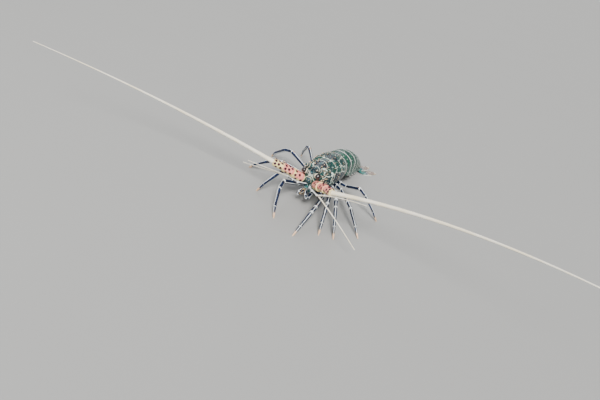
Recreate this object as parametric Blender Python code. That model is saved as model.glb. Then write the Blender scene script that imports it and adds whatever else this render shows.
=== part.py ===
"""Spiny lobster, life size, standing with its antennae spread wide.

The animal faces -Y, its left side is +X and the floor is z = 0.  Everything is
worked out in millimetres about the middle of the carapace, made in metres, and
moved at the end so that the origin lies under the middle of the bounding box.
"""

import math
import random

import bmesh
import bpy
import numpy as np
from mathutils import Vector

MM = 0.001
GAP = 0.3
SEED = 11

# Carapace, along Y from its front margin to its rear edge
CARAPACE_LENGTH = 75.0
CARAPACE_FRONT = -38.0
STATIONS = (0.0, 0.07, 0.25, 0.45, 0.72, 0.9, 1.0)
HALF_WIDTHS = (14.5, 17.5, 21.0, 22.8, 23.8, 22.6, 21.0)
TOPS = (52.5, 55.0, 58.0, 60.3, 60.0, 57.8, 55.5)
BOTTOMS = (27.0, 25.0, 23.4, 23.0, 23.0, 23.4, 24.5)
WAIST = 0.4
BACK_ROUNDNESS = 2.25
FLANK_ROUNDNESS = 3.4
GROOVE_DEPTH = 1.5
GROOVE_WIDTH = 0.022
GROOVE_TOP = 0.52
GROOVE_SIDE = 0.27
SHELL_SIDES = 26
SHELL_SHARES = (0.0, 0.035, 0.1, 0.18, 0.26, 0.34, 0.42, 0.485, GROOVE_TOP, 0.555, 0.63, 0.72, 0.81, 0.9, 0.97, 1.0)
FRONT_INSET = 0.78
FRONT_BULGE = 2.2
# Its spines: angle round the shell, then shares of its length and sizes along the row
SHELL_SPINES = (
    (77, ((0.24, 5.6), (0.33, 5.0), (0.42, 4.4), (0.60, 3.8), (0.71, 3.6), (0.83, 3.4), (0.94, 3.0))),
    (60, ((0.24, 6.0), (0.32, 5.4), (0.41, 4.8), (0.64, 4.2), (0.76, 3.8), (0.88, 3.4))),
    (42, ((0.15, 6.4), (0.25, 5.8), (0.35, 5.0), (0.46, 4.4), (0.61, 4.2), (0.73, 3.8), (0.86, 3.4))),
    (24, ((0.10, 7.0), (0.18, 6.2), (0.27, 5.4), (0.36, 4.8), (0.62, 4.0), (0.78, 3.6))),
    (6, ((0.15, 4.8), (0.24, 4.4), (0.35, 4.0), (0.58, 3.6), (0.72, 3.2))),
)

# Sternum and the roots of the legs
STERNUM_Y = (-26.0, 35.0)
STERNUM_HALF = (5.5, 13.0)
STERNUM_Z = (13.5, 24.0)
HIP_HEIGHT = 17.6
HIP_Y = (-19.0, -8.0, 3.5, 15.0, 26.5)
HIP_RADIUS = (4.3, 4.6, 4.6, 4.4, 4.0)

# Legs: share of the whole length taken by each joint, then radii in mm
LEG_SHARES = (0.09, 0.10, 0.31, 0.12, 0.24, 0.14)
LEG_LENGTHS = (116.0, 120.0, 122.0, 120.0, 108.0)
LEG_RADII = (2.9, 2.9, 2.8, 2.6, 2.3)
LEG_SPINE = 3.4
FEET = {
    "left": ((31, -118), (55, -90), (74, -82), (98, -54), (99, 4)),
    "right": ((-9, -105), (-65, -70), (-112, -26), (-110, 32), (-78, 74)),
}
LEANS = {"left": (-22, 0, 8, 14, 14), "right": (30, -18, -22, -16, -8)}

# Head
HORN_ROOT = (9.3, -29.0, 53.0)
HORN_LENGTH = 25.0
EYE_CENTRE = (11.6, -41.6, 52.0)
EYE_RADIUS = 4.1
EYE_STALK_ROOT = (2.6, -37.0, 49.5)
ORBIT_RADIUS = 5.6
ANTENNA_ROOT = (10.9, -41.0, 37.2)
ANTENNA_LENGTHS = (18.5, 15.5, 15.5)
ANTENNA_RADII = (7.1, 6.2, 5.5)
ANTENNA_HEADINGS = {
    "left": ((50, 26), (56, 22), (60, 16)),
    "right": ((-50, 27), (-57, 23), (-62, 17)),
}
FLAGELLUM_LENGTH = 400.0
FLAGELLUM_ROOT = 3.0
FLAGELLUM_TIP = 0.5
FLAGELLUM_SWEEP = {"left": (88, 77, 18, 4), "right": (-86, -67, 6, 9.5)}
FLAGELLUM_CUTS = (0.0, 0.3, 0.64, 1.0)
ANTENNULE_ROOT = (2.7, -39.5, 31.6)
ANTENNULE_LENGTHS = (24.0, 13.0, 15.0)
ANTENNULE_HEADINGS = {
    "left": ((24, 23), (46, 15), (54, 11)),
    "right": ((-17, 22), (-16, 34), (-12, 37)),
}
ANTENNULE_BRANCHES = {
    "left": {"inner": ((72, 72), (34, 18)), "outer": ((66, 74), (-8, -26))},
    "right": {"inner": ((4, -26), (33, 27)), "outer": ((6, -32), (31, 22))},
}
ANTENNULE_BRANCH_LENGTH = 90.0
ANTENNULE_RADII = (2.0, 1.75, 1.65)
BRANCH_RADII = (0.75, 0.35)
BRANCH_APART = 0.95

# Abdomen: one value for each of its six rings, then the last ring's rear edge
SOMITE_LENGTHS = (13.0, 15.0, 14.0, 13.0, 12.0, 14.0)
SOMITE_SLOPES = (-3.0, -10.0, -18.0, -26.0, -33.0, -36.0)
SOMITE_HALVES = (20.6, 21.2, 20.8, 19.8, 18.4, 16.8, 15.2)
SOMITE_ARCHES = (16.2, 16.2, 15.4, 14.2, 12.6, 10.6, 7.6)
SOMITE_BELLIES = (11.0, 10.6, 10.0, 9.0, 7.8, 6.2, 4.2)
PLEURA = (4.0, 10.0, 9.5, 8.5, 7.0, 3.0)
ABDOMEN_START = (37.0, 38.5)

# Tail fan: places of the blades' roots, lengths, half widths at even shares, and heights
FAN_START = -2.5
BLADE_RIM = 1.2
FAN = {
    "telson": {
        "x": 0.0, "turn": 0, "length": 31.0, "halves": (6.2, 7.6, 8.2, 7.8, 6.2),
        "drop": 6.0, "rest": 1.8, "thick": 6.0, "level_at": 0.5,
    },
    "inner": {
        "x": 9.2, "turn": 20, "length": 31.0, "halves": (2.2, 5.0, 6.9, 7.8, 6.0),
        "drop": 4.6, "rest": 1.8, "thick": 4.4, "level_at": 0.45,
    },
    "outer": {
        "x": 14.0, "turn": 45, "length": 33.0, "halves": (2.4, 5.8, 8.0, 8.4, 6.4),
        "drop": 3.2, "rest": 0.0, "thick": 4.2, "level_at": 0.3,
    },
}

SLOTS = {
    "shell": ((0.030, 0.085, 0.080), 0.32),
    "pink": ((0.780, 0.330, 0.360), 0.38),
    "ivory": ((0.860, 0.810, 0.700), 0.42),
    "leg": ((0.020, 0.035, 0.075), 0.30),
    "eye": ((0.012, 0.010, 0.012), 0.08),
    "tail": ((0.040, 0.150, 0.140), 0.34),
}


def unit(vector):
    """The vector at length one."""
    vector = np.asarray(vector, float)
    return vector / np.linalg.norm(vector)


def heading(azimuth, rise):
    """Direction at an angle from straight ahead towards the left side, and above level."""
    a = math.radians(azimuth)
    r = math.radians(rise)
    return np.array([math.sin(a) * math.cos(r), -math.cos(a) * math.cos(r), math.sin(r)])


def mirrored(point, side):
    """A point given for the left side, on the side asked for."""
    sign = 1.0 if side == "left" else -1.0
    return np.array([sign * point[0], point[1], point[2]], float)


def eased(x, xs, ys):
    """Smooth curve through the points, its slope at each being that of its neighbours' line."""
    xs = np.asarray(xs, float)
    ys = np.asarray(ys, float)
    slopes = np.gradient(ys, xs)
    x = np.clip(x, xs[0], xs[-1])
    k = np.clip(np.searchsorted(xs, x) - 1, 0, len(xs) - 2)
    h = xs[k + 1] - xs[k]
    t = (x - xs[k]) / h
    return (
        ys[k] * (2 * t**3 - 3 * t**2 + 1)
        + slopes[k] * h * (t**3 - 2 * t**2 + t)
        + ys[k + 1] * (-2 * t**3 + 3 * t**2)
        + slopes[k + 1] * h * (t**3 - t**2)
    )


# Mesh making


def new_object(name, bm):
    """An object of the scene that holds the bmesh, with its faces pointing out."""
    bmesh.ops.recalc_face_normals(bm, faces=bm.faces)
    if bm.calc_volume(signed=True) < 0:
        bmesh.ops.reverse_faces(bm, faces=bm.faces)
    mesh = bpy.data.meshes.new(name)
    bm.to_mesh(mesh)
    bm.free()
    obj = bpy.data.objects.new(name, mesh)
    bpy.context.scene.collection.objects.link(obj)
    return obj


def skin(name, rings, split=False):
    """Closed solid through rings of points, each end filled with a flat face.

    With split, the sides are split into triangles alike on all of it."""
    bm = bmesh.new()
    rows = []
    for ring in rings:
        rows.append([bm.verts.new(Vector(p) * MM) for p in ring])
    count = len(rows[0])
    for low, high in zip(rows, rows[1:]):
        for k in range(count):
            n = (k + 1) % count
            if split:
                bm.faces.new((low[k], low[n], high[n]))
                bm.faces.new((low[k], high[n], high[k]))
            else:
                bm.faces.new((low[k], low[n], high[n], high[k]))
    bm.faces.new(rows[0][::-1])
    bm.faces.new(rows[-1])
    return new_object(name, bm)


def oval(centre, tangent, across, half_across, half_up, sides):
    """Ring of points on an ellipse that stands square to the tangent."""
    t = unit(tangent)
    up = unit(np.cross(t, across))
    side = np.cross(up, t)
    angles = (np.arange(sides) + 0.5) * 2 * math.pi / sides
    return (
        np.asarray(centre, float)
        + np.outer(np.cos(angles) * half_across, side)
        + np.outer(np.sin(angles) * half_up, up)
    )


def level_across(tangent):
    """The level direction square to a tangent, towards the left of one who goes along it."""
    return unit(np.cross([0, 0, 1], np.asarray(tangent, float)))


def onto_plane(ring, direction, point, normal):
    """The ring slid along a direction until it lies in a plane."""
    normal = unit(normal)
    distance = (np.asarray(point) - ring) @ normal / (np.asarray(direction) @ normal)
    return ring + np.outer(distance, direction)


def apply_modifier(obj, modifier):
    """Make a modifier's result the object's own mesh."""
    bpy.context.view_layer.objects.active = obj
    bpy.ops.object.modifier_apply(modifier=modifier.name)


def keep_largest(obj):
    """Drop all but the largest closed surface of the object."""
    bm = bmesh.new()
    bm.from_mesh(obj.data)
    left = set(bm.faces)
    islands = []
    while left:
        stack = [left.pop()]
        island = []
        while stack:
            face = stack.pop()
            island.append(face)
            for edge in face.edges:
                for other in edge.link_faces:
                    if other in left:
                        left.remove(other)
                        stack.append(other)
        islands.append(island)
    islands.sort(key=lambda faces: sum(f.calc_area() for f in faces))
    scraps = [f for island in islands[:-1] for f in island]
    bmesh.ops.delete(bm, geom=scraps, context="FACES")
    loose = [v for v in bm.verts if not v.link_faces]
    bmesh.ops.delete(bm, geom=loose, context="VERTS")
    bm.to_mesh(obj.data)
    bm.free()


def fuse(obj, pieces):
    """Join closed pieces to the object with one union on their collection."""
    group = bpy.data.collections.new(obj.name + "_pieces")
    bpy.context.scene.collection.children.link(group)
    for piece in pieces:
        bpy.context.scene.collection.objects.unlink(piece)
        group.objects.link(piece)
    modifier = obj.modifiers.new("fuse", "BOOLEAN")
    modifier.operation = "UNION"
    modifier.operand_type = "COLLECTION"
    modifier.collection = group
    apply_modifier(obj, modifier)
    for piece in pieces:
        bpy.data.objects.remove(piece)
    bpy.data.collections.remove(group)
    keep_largest(obj)
    return obj


def trim(obj, cutter, keep_cutter=False):
    """Cut the object by a closed solid."""
    modifier = obj.modifiers.new("trim", "BOOLEAN")
    modifier.operation = "DIFFERENCE"
    modifier.object = cutter
    apply_modifier(obj, modifier)
    if not keep_cutter:
        bpy.data.objects.remove(cutter)
    keep_largest(obj)
    return obj


def cut_plane(obj, point, normal):
    """Keep only what lies beyond a plane, and close the cut."""
    bm = bmesh.new()
    bm.from_mesh(obj.data)
    parts = bm.verts[:] + bm.edges[:] + bm.faces[:]
    spot = Vector(point) * MM
    made = bmesh.ops.bisect_plane(bm, geom=parts, plane_co=spot, plane_no=Vector(normal), clear_inner=True)
    edges = [item for item in made["geom_cut"] if isinstance(item, bmesh.types.BMEdge)]
    bmesh.ops.holes_fill(bm, edges=edges)
    bmesh.ops.recalc_face_normals(bm, faces=bm.faces)
    bm.to_mesh(obj.data)
    bm.free()
    return obj


def thorn(root, direction, length, radius, hook=None):
    """Curved four-sided spine with its root sunk below the point that it grows from."""
    direction = unit(direction)
    hook = unit(hook) if hook is not None else direction
    across = np.cross(direction, [0.31, 0.17, 0.93])
    foot = np.asarray(root) - direction * radius * 1.2
    middle = np.asarray(root) + direction * length * 0.5
    tip = middle + unit(direction + hook * 0.5) * length * 0.5
    rings = [
        oval(foot, direction, across, radius * 1.15, radius * 1.15, 4),
        oval(middle, direction, across, radius * 0.55, radius * 0.55, 4),
        oval(tip, direction, across, 0.12, 0.12, 4),
    ]
    return skin("thorn", rings)


# Carapace


def carapace_point(s, angle, grow=0.0):
    """Point of the carapace at share s of its length and an angle round it, 90 being the top."""
    c = math.cos(math.radians(angle))
    z = math.sin(math.radians(angle))
    reach = GROOVE_TOP - (GROOVE_TOP - GROOVE_SIDE) * abs(c) ** 1.4
    warped = eased(s, (0.0, GROOVE_TOP, 1.0), (0.0, reach, 1.0)) if 0 < s < 1 else s
    half = eased(warped, STATIONS, HALF_WIDTHS) + grow
    top = eased(warped, STATIONS, TOPS) + grow
    bottom = eased(warped, STATIONS, BOTTOMS) - grow
    middle = bottom + WAIST * (top - bottom)
    power = 2 / BACK_ROUNDNESS if z > 0 else 2 / FLANK_ROUNDNESS
    rise = (top - middle) if z > 0 else (middle - bottom)
    shrink = 1.0
    if z > -0.35:
        shrink -= GROOVE_DEPTH / half * math.exp(-(((s - GROOVE_TOP) / GROOVE_WIDTH) ** 2))
    x = half * shrink * math.copysign(abs(c) ** power, c)
    height = middle + rise * shrink * math.copysign(abs(z) ** power, z)
    y = CARAPACE_FRONT + CARAPACE_LENGTH * warped
    return np.array([x, y, height])


def carapace_normal(s, angle):
    """Outward direction of the carapace's surface."""
    along = carapace_point(s + 0.01, angle) - carapace_point(s - 0.01, angle)
    around = carapace_point(s, angle + 2) - carapace_point(s, angle - 2)
    return unit(np.cross(along, around))


def orbit_cutter(side, shrink):
    """Ball that hollows the orbit behind one eye."""
    bm = bmesh.new()
    bmesh.ops.create_uvsphere(bm, u_segments=12, v_segments=8, radius=(ORBIT_RADIUS - shrink) * MM)
    bmesh.ops.translate(bm, verts=bm.verts, vec=Vector(mirrored(EYE_CENTRE, side)) * MM)
    cutter = new_object("orbit", bm)
    cutter.hide_render = True
    cutter.display_type = "WIRE"
    return cutter


def carapace_shell(name, grow=0.0):
    """The carapace without its spines, or a copy that is larger all round for cutting."""
    angles = (np.arange(SHELL_SIDES) + 0.5) * 360 / SHELL_SIDES
    rings = []
    for s in SHELL_SHARES:
        ring = np.array([carapace_point(s, a, grow) for a in angles])
        ring[:, 1] += grow * (2 * s - 1)
        rings.append(ring)
    front = rings[0].copy()
    centre = front.mean(axis=0)
    front = centre + (front - centre) * FRONT_INSET
    front[:, 1] -= FRONT_BULGE
    rings.insert(0, front)
    shell = skin(name, rings)
    for side in ("left", "right"):
        trim(shell, orbit_cutter(side, grow))
    return shell


def carapace_spines(rng):
    """Rows of forward spines on both sides of the back, each a little out of line."""
    spines = []
    for angle, places in SHELL_SPINES:
        for s, size in places:
            for turn in (angle, 180 - angle):
                place = s + rng.uniform(-0.008, 0.008)
                turn += rng.uniform(-2.5, 2.5)
                point = carapace_point(place, turn)
                normal = carapace_normal(place, turn)
                lean = unit(normal * 0.85 + np.array([0, -0.8, 0.05]))
                length = size * rng.uniform(0.9, 1.12)
                spines.append(thorn(point, lean, length, size * 0.2 + 0.25, (0, -1, 0.1)))
    return spines


def build_carapace(rng):
    """Shell of the head and thorax with its rows of forward spines."""
    return fuse(carapace_shell("carapace"), carapace_spines(rng))


def build_sternum():
    """Wedge-shaped plate under the carapace, with the legs along its two slanting sides."""
    rings = []
    for y, half in zip(STERNUM_Y, STERNUM_HALF):
        low, high = STERNUM_Z
        rings.append(
            np.array(
                [
                    (half, y, high),
                    (half, y, low + 2.0),
                    (half - 2.5, y, low),
                    (2.5 - half, y, low),
                    (-half, y, low + 2.0),
                    (-half, y, high),
                ]
            )
        )
    return trim(skin("sternum", rings), carapace_shell("cutter", GAP))


def build_horn(side):
    """Flattened horn that arches forward over the eye."""
    count = 8
    point = mirrored(HORN_ROOT, side)
    rings = []
    for k in range(count):
        t = k / (count - 1)
        tangent = heading(4 * (1 if side == "left" else -1), 40 - 26 * t)
        radius = 4.4 * (1 - t) ** 0.85 + 0.25
        across = level_across(tangent)
        rings.append(oval(point, tangent, across, radius * 0.62, radius, 8))
        point = point + tangent * HORN_LENGTH / (count - 1)
    return trim(skin("horn_" + side, rings), carapace_shell("cutter", GAP))


def build_eye(side):
    """Short stalk and dark rounded eye, set in the orbit."""
    centre = mirrored(EYE_CENTRE, side)
    root = mirrored(EYE_STALK_ROOT, side)
    outward = unit(centre - root)
    across = level_across(outward)
    reach = np.linalg.norm(centre - root)
    rings = []
    for share, radius in ((0.0, 2.7), (0.35, 2.6), (0.6, 3.1)):
        rings.append(oval(root + outward * reach * share, outward, across, radius, radius, 12))
    for turn in (-42, -18, 6, 30, 52, 72):
        a = math.radians(turn)
        spot = centre + outward * EYE_RADIUS * 0.92 * math.sin(a)
        rings.append(
            oval(spot, outward, across, EYE_RADIUS * 1.05 * math.cos(a), EYE_RADIUS * math.cos(a), 12)
        )
    eye = skin("eye_" + side, rings)
    return trim(eye, carapace_shell("cutter", GAP))


def build_antennular_plate(rng):
    """Small plate between the antennae with two pairs of spines."""
    rings = []
    for y, half, low, high in ((-36, 3.6, 36.5, 46.5), (-43.5, 3.4, 37.5, 45.5), (-46.5, 2.4, 38.5, 43.5)):
        rings.append(
            np.array(
                [
                    (half, y, high - 1.5),
                    (half - 1.2, y, high),
                    (1.2 - half, y, high),
                    (-half, y, high - 1.5),
                    (-half, y, low + 1.0),
                    (1.2 - half, y, low),
                    (half - 1.2, y, low),
                    (half, y, low + 1.0),
                ]
            )
        )
    plate = skin("antennular_plate", rings)
    spines = []
    for x, y, z, size in ((2.0, -42.0, 45.4, 5.0), (1.7, -46.0, 42.6, 3.8)):
        for sign in (1, -1):
            lean = unit((0.10 * sign, -0.75, 0.66))
            spines.append(thorn((x * sign, y, z), lean, size * rng.uniform(0.95, 1.05), 0.9, (0, -1, 0)))
    return trim(fuse(plate, spines), carapace_shell("cutter", GAP))


def build_mouth():
    """Plate above the mouth with the two rounded jaws, parted by the line of the mouth."""
    rings = []
    for z, half, front in ((29.2, 7.4, -41.5), (27.6, 8.4, -42.6), (26.0, 7.6, -42.0), (24.6, 6.0, -41.0)):
        rings.append(
            np.array(
                [
                    (half, -34.0, z),
                    (half, front + 2.0, z),
                    (half - 2.2, front, z),
                    (0.0, front - 0.4, z),
                    (2.2 - half, front, z),
                    (-half, front + 2.0, z),
                    (-half, -34.0, z),
                ]
            )
        )
    plate = skin("mouth", rings)
    jaws = []
    for sign in (1, -1):
        bm = bmesh.new()
        bmesh.ops.create_uvsphere(bm, u_segments=12, v_segments=8, radius=1.0)
        bmesh.ops.scale(bm, verts=bm.verts, vec=Vector((3.5, 4.2, 4.0)) * MM)
        bmesh.ops.translate(bm, verts=bm.verts, vec=Vector((3.2 * sign, -38.6, 23.2)) * MM)
        jaws.append(new_object("jaw", bm))
    return trim(fuse(plate, jaws), carapace_shell("cutter", GAP))


# Feelers


def antenna_joints(side):
    """Ends of the three thick joints of one antenna."""
    points = [mirrored(ANTENNA_ROOT, side)]
    for length, turn in zip(ANTENNA_LENGTHS, ANTENNA_HEADINGS[side]):
        points.append(points[-1] + length * heading(*turn))
    return points


def flagellum_path(side, count=61):
    """Points and tangents of the long whip, its heading turning evenly from root to tip."""
    first, last, low, high = FLAGELLUM_SWEEP[side]
    step = FLAGELLUM_LENGTH / (count - 1)
    points = [antenna_joints(side)[-1]]
    tangents = []
    for k in range(count):
        t = k / (count - 1)
        tangents.append(heading(first + (last - first) * t, low + (high - low) * t))
        if k < count - 1:
            middle = (k + 0.5) / (count - 1)
            turn = heading(first + (last - first) * middle, low + (high - low) * middle)
            points.append(points[-1] + step * turn)
    return points, tangents


def build_antenna(side, rng):
    """Three thick spiny joints, in a node each."""
    points = antenna_joints(side)
    directions = [heading(*turn) for turn in ANTENNA_HEADINGS[side]]
    after = flagellum_path(side)[1][0]
    nodes = []
    for k in range(3):
        a, b, d = points[k], points[k + 1], directions[k]
        before = directions[k - 1] if k else d
        follow = directions[k + 1] if k < 2 else after
        radius = ANTENNA_RADII[k]
        length = ANTENNA_LENGTHS[k]
        across = level_across(d)
        start = unit(before + d)
        end = unit(d + follow)
        rings = []
        for share, size in ((0.0, 0.84), (0.16, 0.95), (0.5, 0.97), (0.8, 1.04), (0.93, 1.0), (1.0, 0.84)):
            ring = oval(a + d * length * share, d, across, radius * size * 1.04, radius * size * 0.96, 12)
            if share == 0.0 and k:
                ring = onto_plane(ring, d, a + start * GAP / 2, start)
            if share == 1.0:
                ring = onto_plane(ring, d, b - end * GAP / 2, end)
            rings.append(ring)
        obj = skin("antenna_%s_%d" % (side, k + 1), rings)
        up = np.cross(d, across)
        spines = []
        layout = ((0.86, (15, 62, 118, 165)), (0.52, (35, 90, 145)), (0.24, (70,)))
        for share, turns in layout:
            for turn in turns:
                a_turn = math.radians(turn + rng.uniform(-5, 5))
                outward = across * math.cos(a_turn) + up * math.sin(a_turn)
                spot = a + d * length * share + outward * radius * 0.93
                if k == 0 and spot[1] > -46.5:
                    continue
                size = (4.8 - 0.5 * k) * rng.uniform(0.85, 1.1) * (1.0 if share > 0.8 else 0.8)
                spines.append(thorn(spot, unit(outward * 0.8 + d), size, 0.95, d))
        fuse(obj, spines)
        if k == 0:
            trim(obj, carapace_shell("cutter", GAP))
        nodes.append(obj)
    return nodes


def flagellum_radius(t):
    """Radius of the whip at share t of its length."""
    return FLAGELLUM_TIP + (FLAGELLUM_ROOT - FLAGELLUM_TIP) * (1 - t) ** 1.35


def build_flagellum(side):
    """The whip in three lengths that meet end to end."""
    count = 46
    points, tangents = flagellum_path(side, count)
    shares = np.linspace(0, 1, count)
    last_joint = heading(*ANTENNA_HEADINGS[side][2])
    names = ("root", "middle", "tip")
    nodes = []
    for name, low, high in zip(names, FLAGELLUM_CUTS, FLAGELLUM_CUTS[1:]):
        first = int(round(low * (count - 1)))
        last = int(round(high * (count - 1)))
        rings = []
        for k in list(range(first, last, 2)) + [last]:
            radius = flagellum_radius(shares[k])
            tangent = tangents[k]
            ring = oval(points[k], tangent, level_across(tangent), radius, radius, 8)
            if k == 0:
                cut = unit(last_joint + tangent)
                ring = onto_plane(ring, tangent, points[0] + cut * GAP / 2, cut)
            elif k == first:
                ring = ring + tangent * GAP / 2
            elif k == last and last < count - 1:
                ring = ring - tangent * GAP / 2
            rings.append(ring)
        nodes.append(skin("flagellum_%s_%s" % (side, name), rings))
    return nodes


def antennule_joints(side):
    """Ends of the three thin joints of one antennule."""
    points = [mirrored(ANTENNULE_ROOT, side)]
    for length, turn in zip(ANTENNULE_LENGTHS, ANTENNULE_HEADINGS[side]):
        points.append(points[-1] + length * heading(*turn))
    return points


def build_antennule(side):
    """Jointed stalk of one antennule and the two thin branches at its end."""
    points = antennule_joints(side)
    directions = [heading(*turn) for turn in ANTENNULE_HEADINGS[side]]
    rings = []
    for k in range(3):
        d = directions[k]
        radius = ANTENNULE_RADII[k]
        for share, size in ((0.05, 0.85), (0.5, 0.85), (0.9, 1.1)):
            centre = points[k] + d * ANTENNULE_LENGTHS[k] * share
            rings.append(oval(centre, d, level_across(d), radius * size, radius * size, 8))
        if k < 2:
            bend = unit(d + directions[k + 1])
            rings.append(oval(points[k + 1], bend, level_across(bend), radius * 0.7, radius * 0.7, 8))
    last = directions[2]
    rings.append(oval(points[3], last, level_across(last), 1.85, 1.85, 8))
    nodes = [trim(skin("antennule_" + side, rings), carapace_shell("cutter", GAP))]
    sign = 1 if side == "left" else -1
    for branch, (azimuths, rises) in ANTENNULE_BRANCHES[side].items():
        apart = BRANCH_APART * sign * (1 if branch == "outer" else -1)
        point = points[3] + last * GAP + level_across(last) * apart
        count = 11
        rings = []
        for k in range(count):
            t = k / (count - 1)
            ease = t**0.6
            tangent = heading(
                azimuths[0] + (azimuths[1] - azimuths[0]) * ease, rises[0] + (rises[1] - rises[0]) * ease
            )
            radius = BRANCH_RADII[0] + (BRANCH_RADII[1] - BRANCH_RADII[0]) * t
            ring = oval(point, tangent, level_across(tangent), radius, radius, 6)
            if k == 0:
                ring = onto_plane(ring, tangent, point, last)
            rings.append(ring)
            point = point + tangent * ANTENNULE_BRANCH_LENGTH / (count - 1)
        nodes.append(skin("antennule_%s_%s" % (side, branch), rings))
    return nodes


def build_maxilliped(side):
    """Leg-like mouthpart that folds up in front of the jaws."""
    path = ((3.2, STERNUM_Y[0] - GAP, 18.4), (5.6, -37.0, 16.4), (7.4, -47.0, 16.6), (7.0, -53.5, 20.0))
    path += ((5.2, -54.5, 25.0), (3.4, -51.5, 28.2), (2.6, -48.5, 27.2))
    radii = (2.3, 2.6, 2.5, 2.2, 1.9, 1.5, 0.7)
    points = [mirrored(p, side) for p in path]
    rings = []
    for k, radius in enumerate(radii):
        low = points[max(k - 1, 0)]
        high = points[min(k + 1, len(points) - 1)]
        tangent = unit(high - low)
        ring = oval(points[k], tangent, (1, 0, 0), radius * 0.85, radius * 1.1, 8)
        if k == 0:
            ring = onto_plane(ring, tangent, points[0], (0, 1, 0))
        rings.append(ring)
    return skin("maxilliped_" + side, rings)


# Legs


def hip_wall(sign):
    """Outward direction of the sternum's slanting side."""
    slope = (STERNUM_HALF[1] - STERNUM_HALF[0]) / (STERNUM_Y[1] - STERNUM_Y[0])
    return unit((sign, -slope, 0))


def leg_joints(side, index):
    """Joints of one leg from the hip to the tip, the knee raised over the line between them."""
    sign = 1 if side == "left" else -1
    length = LEG_LENGTHS[index]
    spans = [share * length for share in LEG_SHARES]
    t = (HIP_Y[index] - STERNUM_Y[0]) / (STERNUM_Y[1] - STERNUM_Y[0])
    half = STERNUM_HALF[0] + (STERNUM_HALF[1] - STERNUM_HALF[0]) * t
    hip = np.array([sign * half, HIP_Y[index], HIP_HEIGHT])
    foot = np.array([*FEET[side][index], 0.0])
    level = unit((foot - hip) * (1, 1, 0))
    sideways = np.array([sign, 0.0, 0.0])
    coxa = hip + spans[0] * hip_wall(sign)
    ischium = coxa + spans[1] * unit(level * 0.8 + sideways * 0.3 + np.array([0, 0, 0.12]))
    bends = np.radians([0, -22, -36])
    lower = [np.zeros(2)]
    for span, bend in zip(spans[3:], bends):
        lower.append(lower[-1] + span * np.array([math.cos(bend), math.sin(bend)]))
    reach = np.linalg.norm(lower[-1])
    offset = math.atan2(lower[-1][1], lower[-1][0])
    line = foot - ischium
    distance = min(np.linalg.norm(line), spans[2] + reach - 0.5)
    axis = unit(line)
    up = unit(np.array([0, 0, 1.0]) - axis * axis[2])
    lean = math.radians(LEANS[side][index])
    up = up * math.cos(lean) + np.cross(axis, up) * math.sin(lean)
    angle = math.acos((spans[2] ** 2 + distance**2 - reach**2) / (2 * spans[2] * distance))
    knee = ischium + spans[2] * (math.cos(angle) * axis + math.sin(angle) * up)
    onward = unit(foot - knee)
    over = unit(up - onward * (up @ onward))
    joints = [hip, coxa, ischium]
    for x, y in lower:
        turned_x = x * math.cos(offset) + y * math.sin(offset)
        turned_y = y * math.cos(offset) - x * math.sin(offset)
        joints.append(knee + onward * turned_x + over * turned_y)
    return joints, np.cross(axis, up)


def limb_rings(joints, radii, across, sides=8, start_room=0.0, end_room=0.0):
    """Rings for jointed lengths: a thick middle and a narrow neck at each joint between them."""
    directions = [unit(b - a) for a, b in zip(joints, joints[1:])]
    rings = []
    for k, d in enumerate(directions):
        length = np.linalg.norm(joints[k + 1] - joints[k])
        near, far = radii[k]
        room = []
        for other, radius in ((k - 1, near), (k + 1, far)):
            bend = 0.0
            if 0 <= other < len(directions):
                bend = math.acos(np.clip(d @ directions[other], -1, 1))
            room.append(max(0.08 * length, radius * 1.15 * math.tan(bend / 2) + 0.7))
        if k == 0:
            room[0] = max(room[0], start_room)
        if k == len(directions) - 1:
            room[1] = max(room[1], end_room)
        stops = ((room[0], near), (length * 0.5, (near + far) * 0.5), (length - room[1], far))
        for distance, radius in stops:
            rings.append(oval(joints[k] + d * distance, d, across, radius * 0.92, radius * 1.08, sides))
        if k < len(directions) - 1:
            bend = unit(d + directions[k + 1])
            neck = min(radii[k][1], radii[k + 1][0]) * 0.78
            rings.append(oval(joints[k + 1], bend, across, neck, neck, sides))
    return rings, directions


def build_leg(side, index):
    """One leg in two nodes that meet at the knee: hip to knee, and knee to tip."""
    joints, across = leg_joints(side, index)
    base = LEG_RADII[index]
    hip = HIP_RADIUS[index]
    knee_cut = unit(unit(joints[3] - joints[2]) + unit(joints[4] - joints[3]))
    bend = math.acos(unit(joints[3] - joints[2]) @ unit(joints[4] - joints[3]))
    knee_room = base * 1.2 * math.tan(bend / 2) + 0.9
    upper = [(hip, hip * 0.92), (base * 1.05, base), (base * 0.92, base * 1.12)]
    rings, directions = limb_rings(joints[:4], upper, across, end_room=knee_room)
    wall = hip_wall(1 if side == "left" else -1)
    root = oval(joints[0], directions[0], across, hip * 0.8, hip * 0.9, 8)
    root = onto_plane(root, directions[0], joints[0] + wall * GAP, wall)
    end = oval(joints[3], directions[2], across, base * 0.8, base * 0.85, 8)
    end = onto_plane(end, directions[2], joints[3] - knee_cut * GAP / 2, knee_cut)
    name = "leg_%s_%d" % (side, index + 1)
    top = unit(np.cross(directions[2], across))
    top = top * math.copysign(1.0, top[2])
    spot = joints[3] - directions[2] * (knee_room + 1.2) + top * base * 1.1
    spine = thorn(spot, unit(directions[2] + top * 0.6), LEG_SPINE, 0.7, directions[2])
    nodes = [fuse(skin(name + "_upper", [root] + rings + [end]), [spine])]
    lower = [(base * 0.92, base * 1.0), (base * 0.9, base * 0.8), (base * 0.72, base * 0.42)]
    rings, directions = limb_rings(joints[3:], lower, across, start_room=knee_room, end_room=3.4)
    start = oval(joints[3], directions[0], across, base * 0.8, base * 0.85, 8)
    start = onto_plane(start, directions[0], joints[3] + knee_cut * GAP / 2, knee_cut)
    tip = oval(joints[-1], directions[-1], across, base * 0.26, base * 0.26, 8)
    tip = onto_plane(tip, directions[-1], (0, 0, 0), (0, 0, 1))
    nodes.append(skin(name + "_lower", [start] + rings + [tip]))
    return nodes


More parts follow.
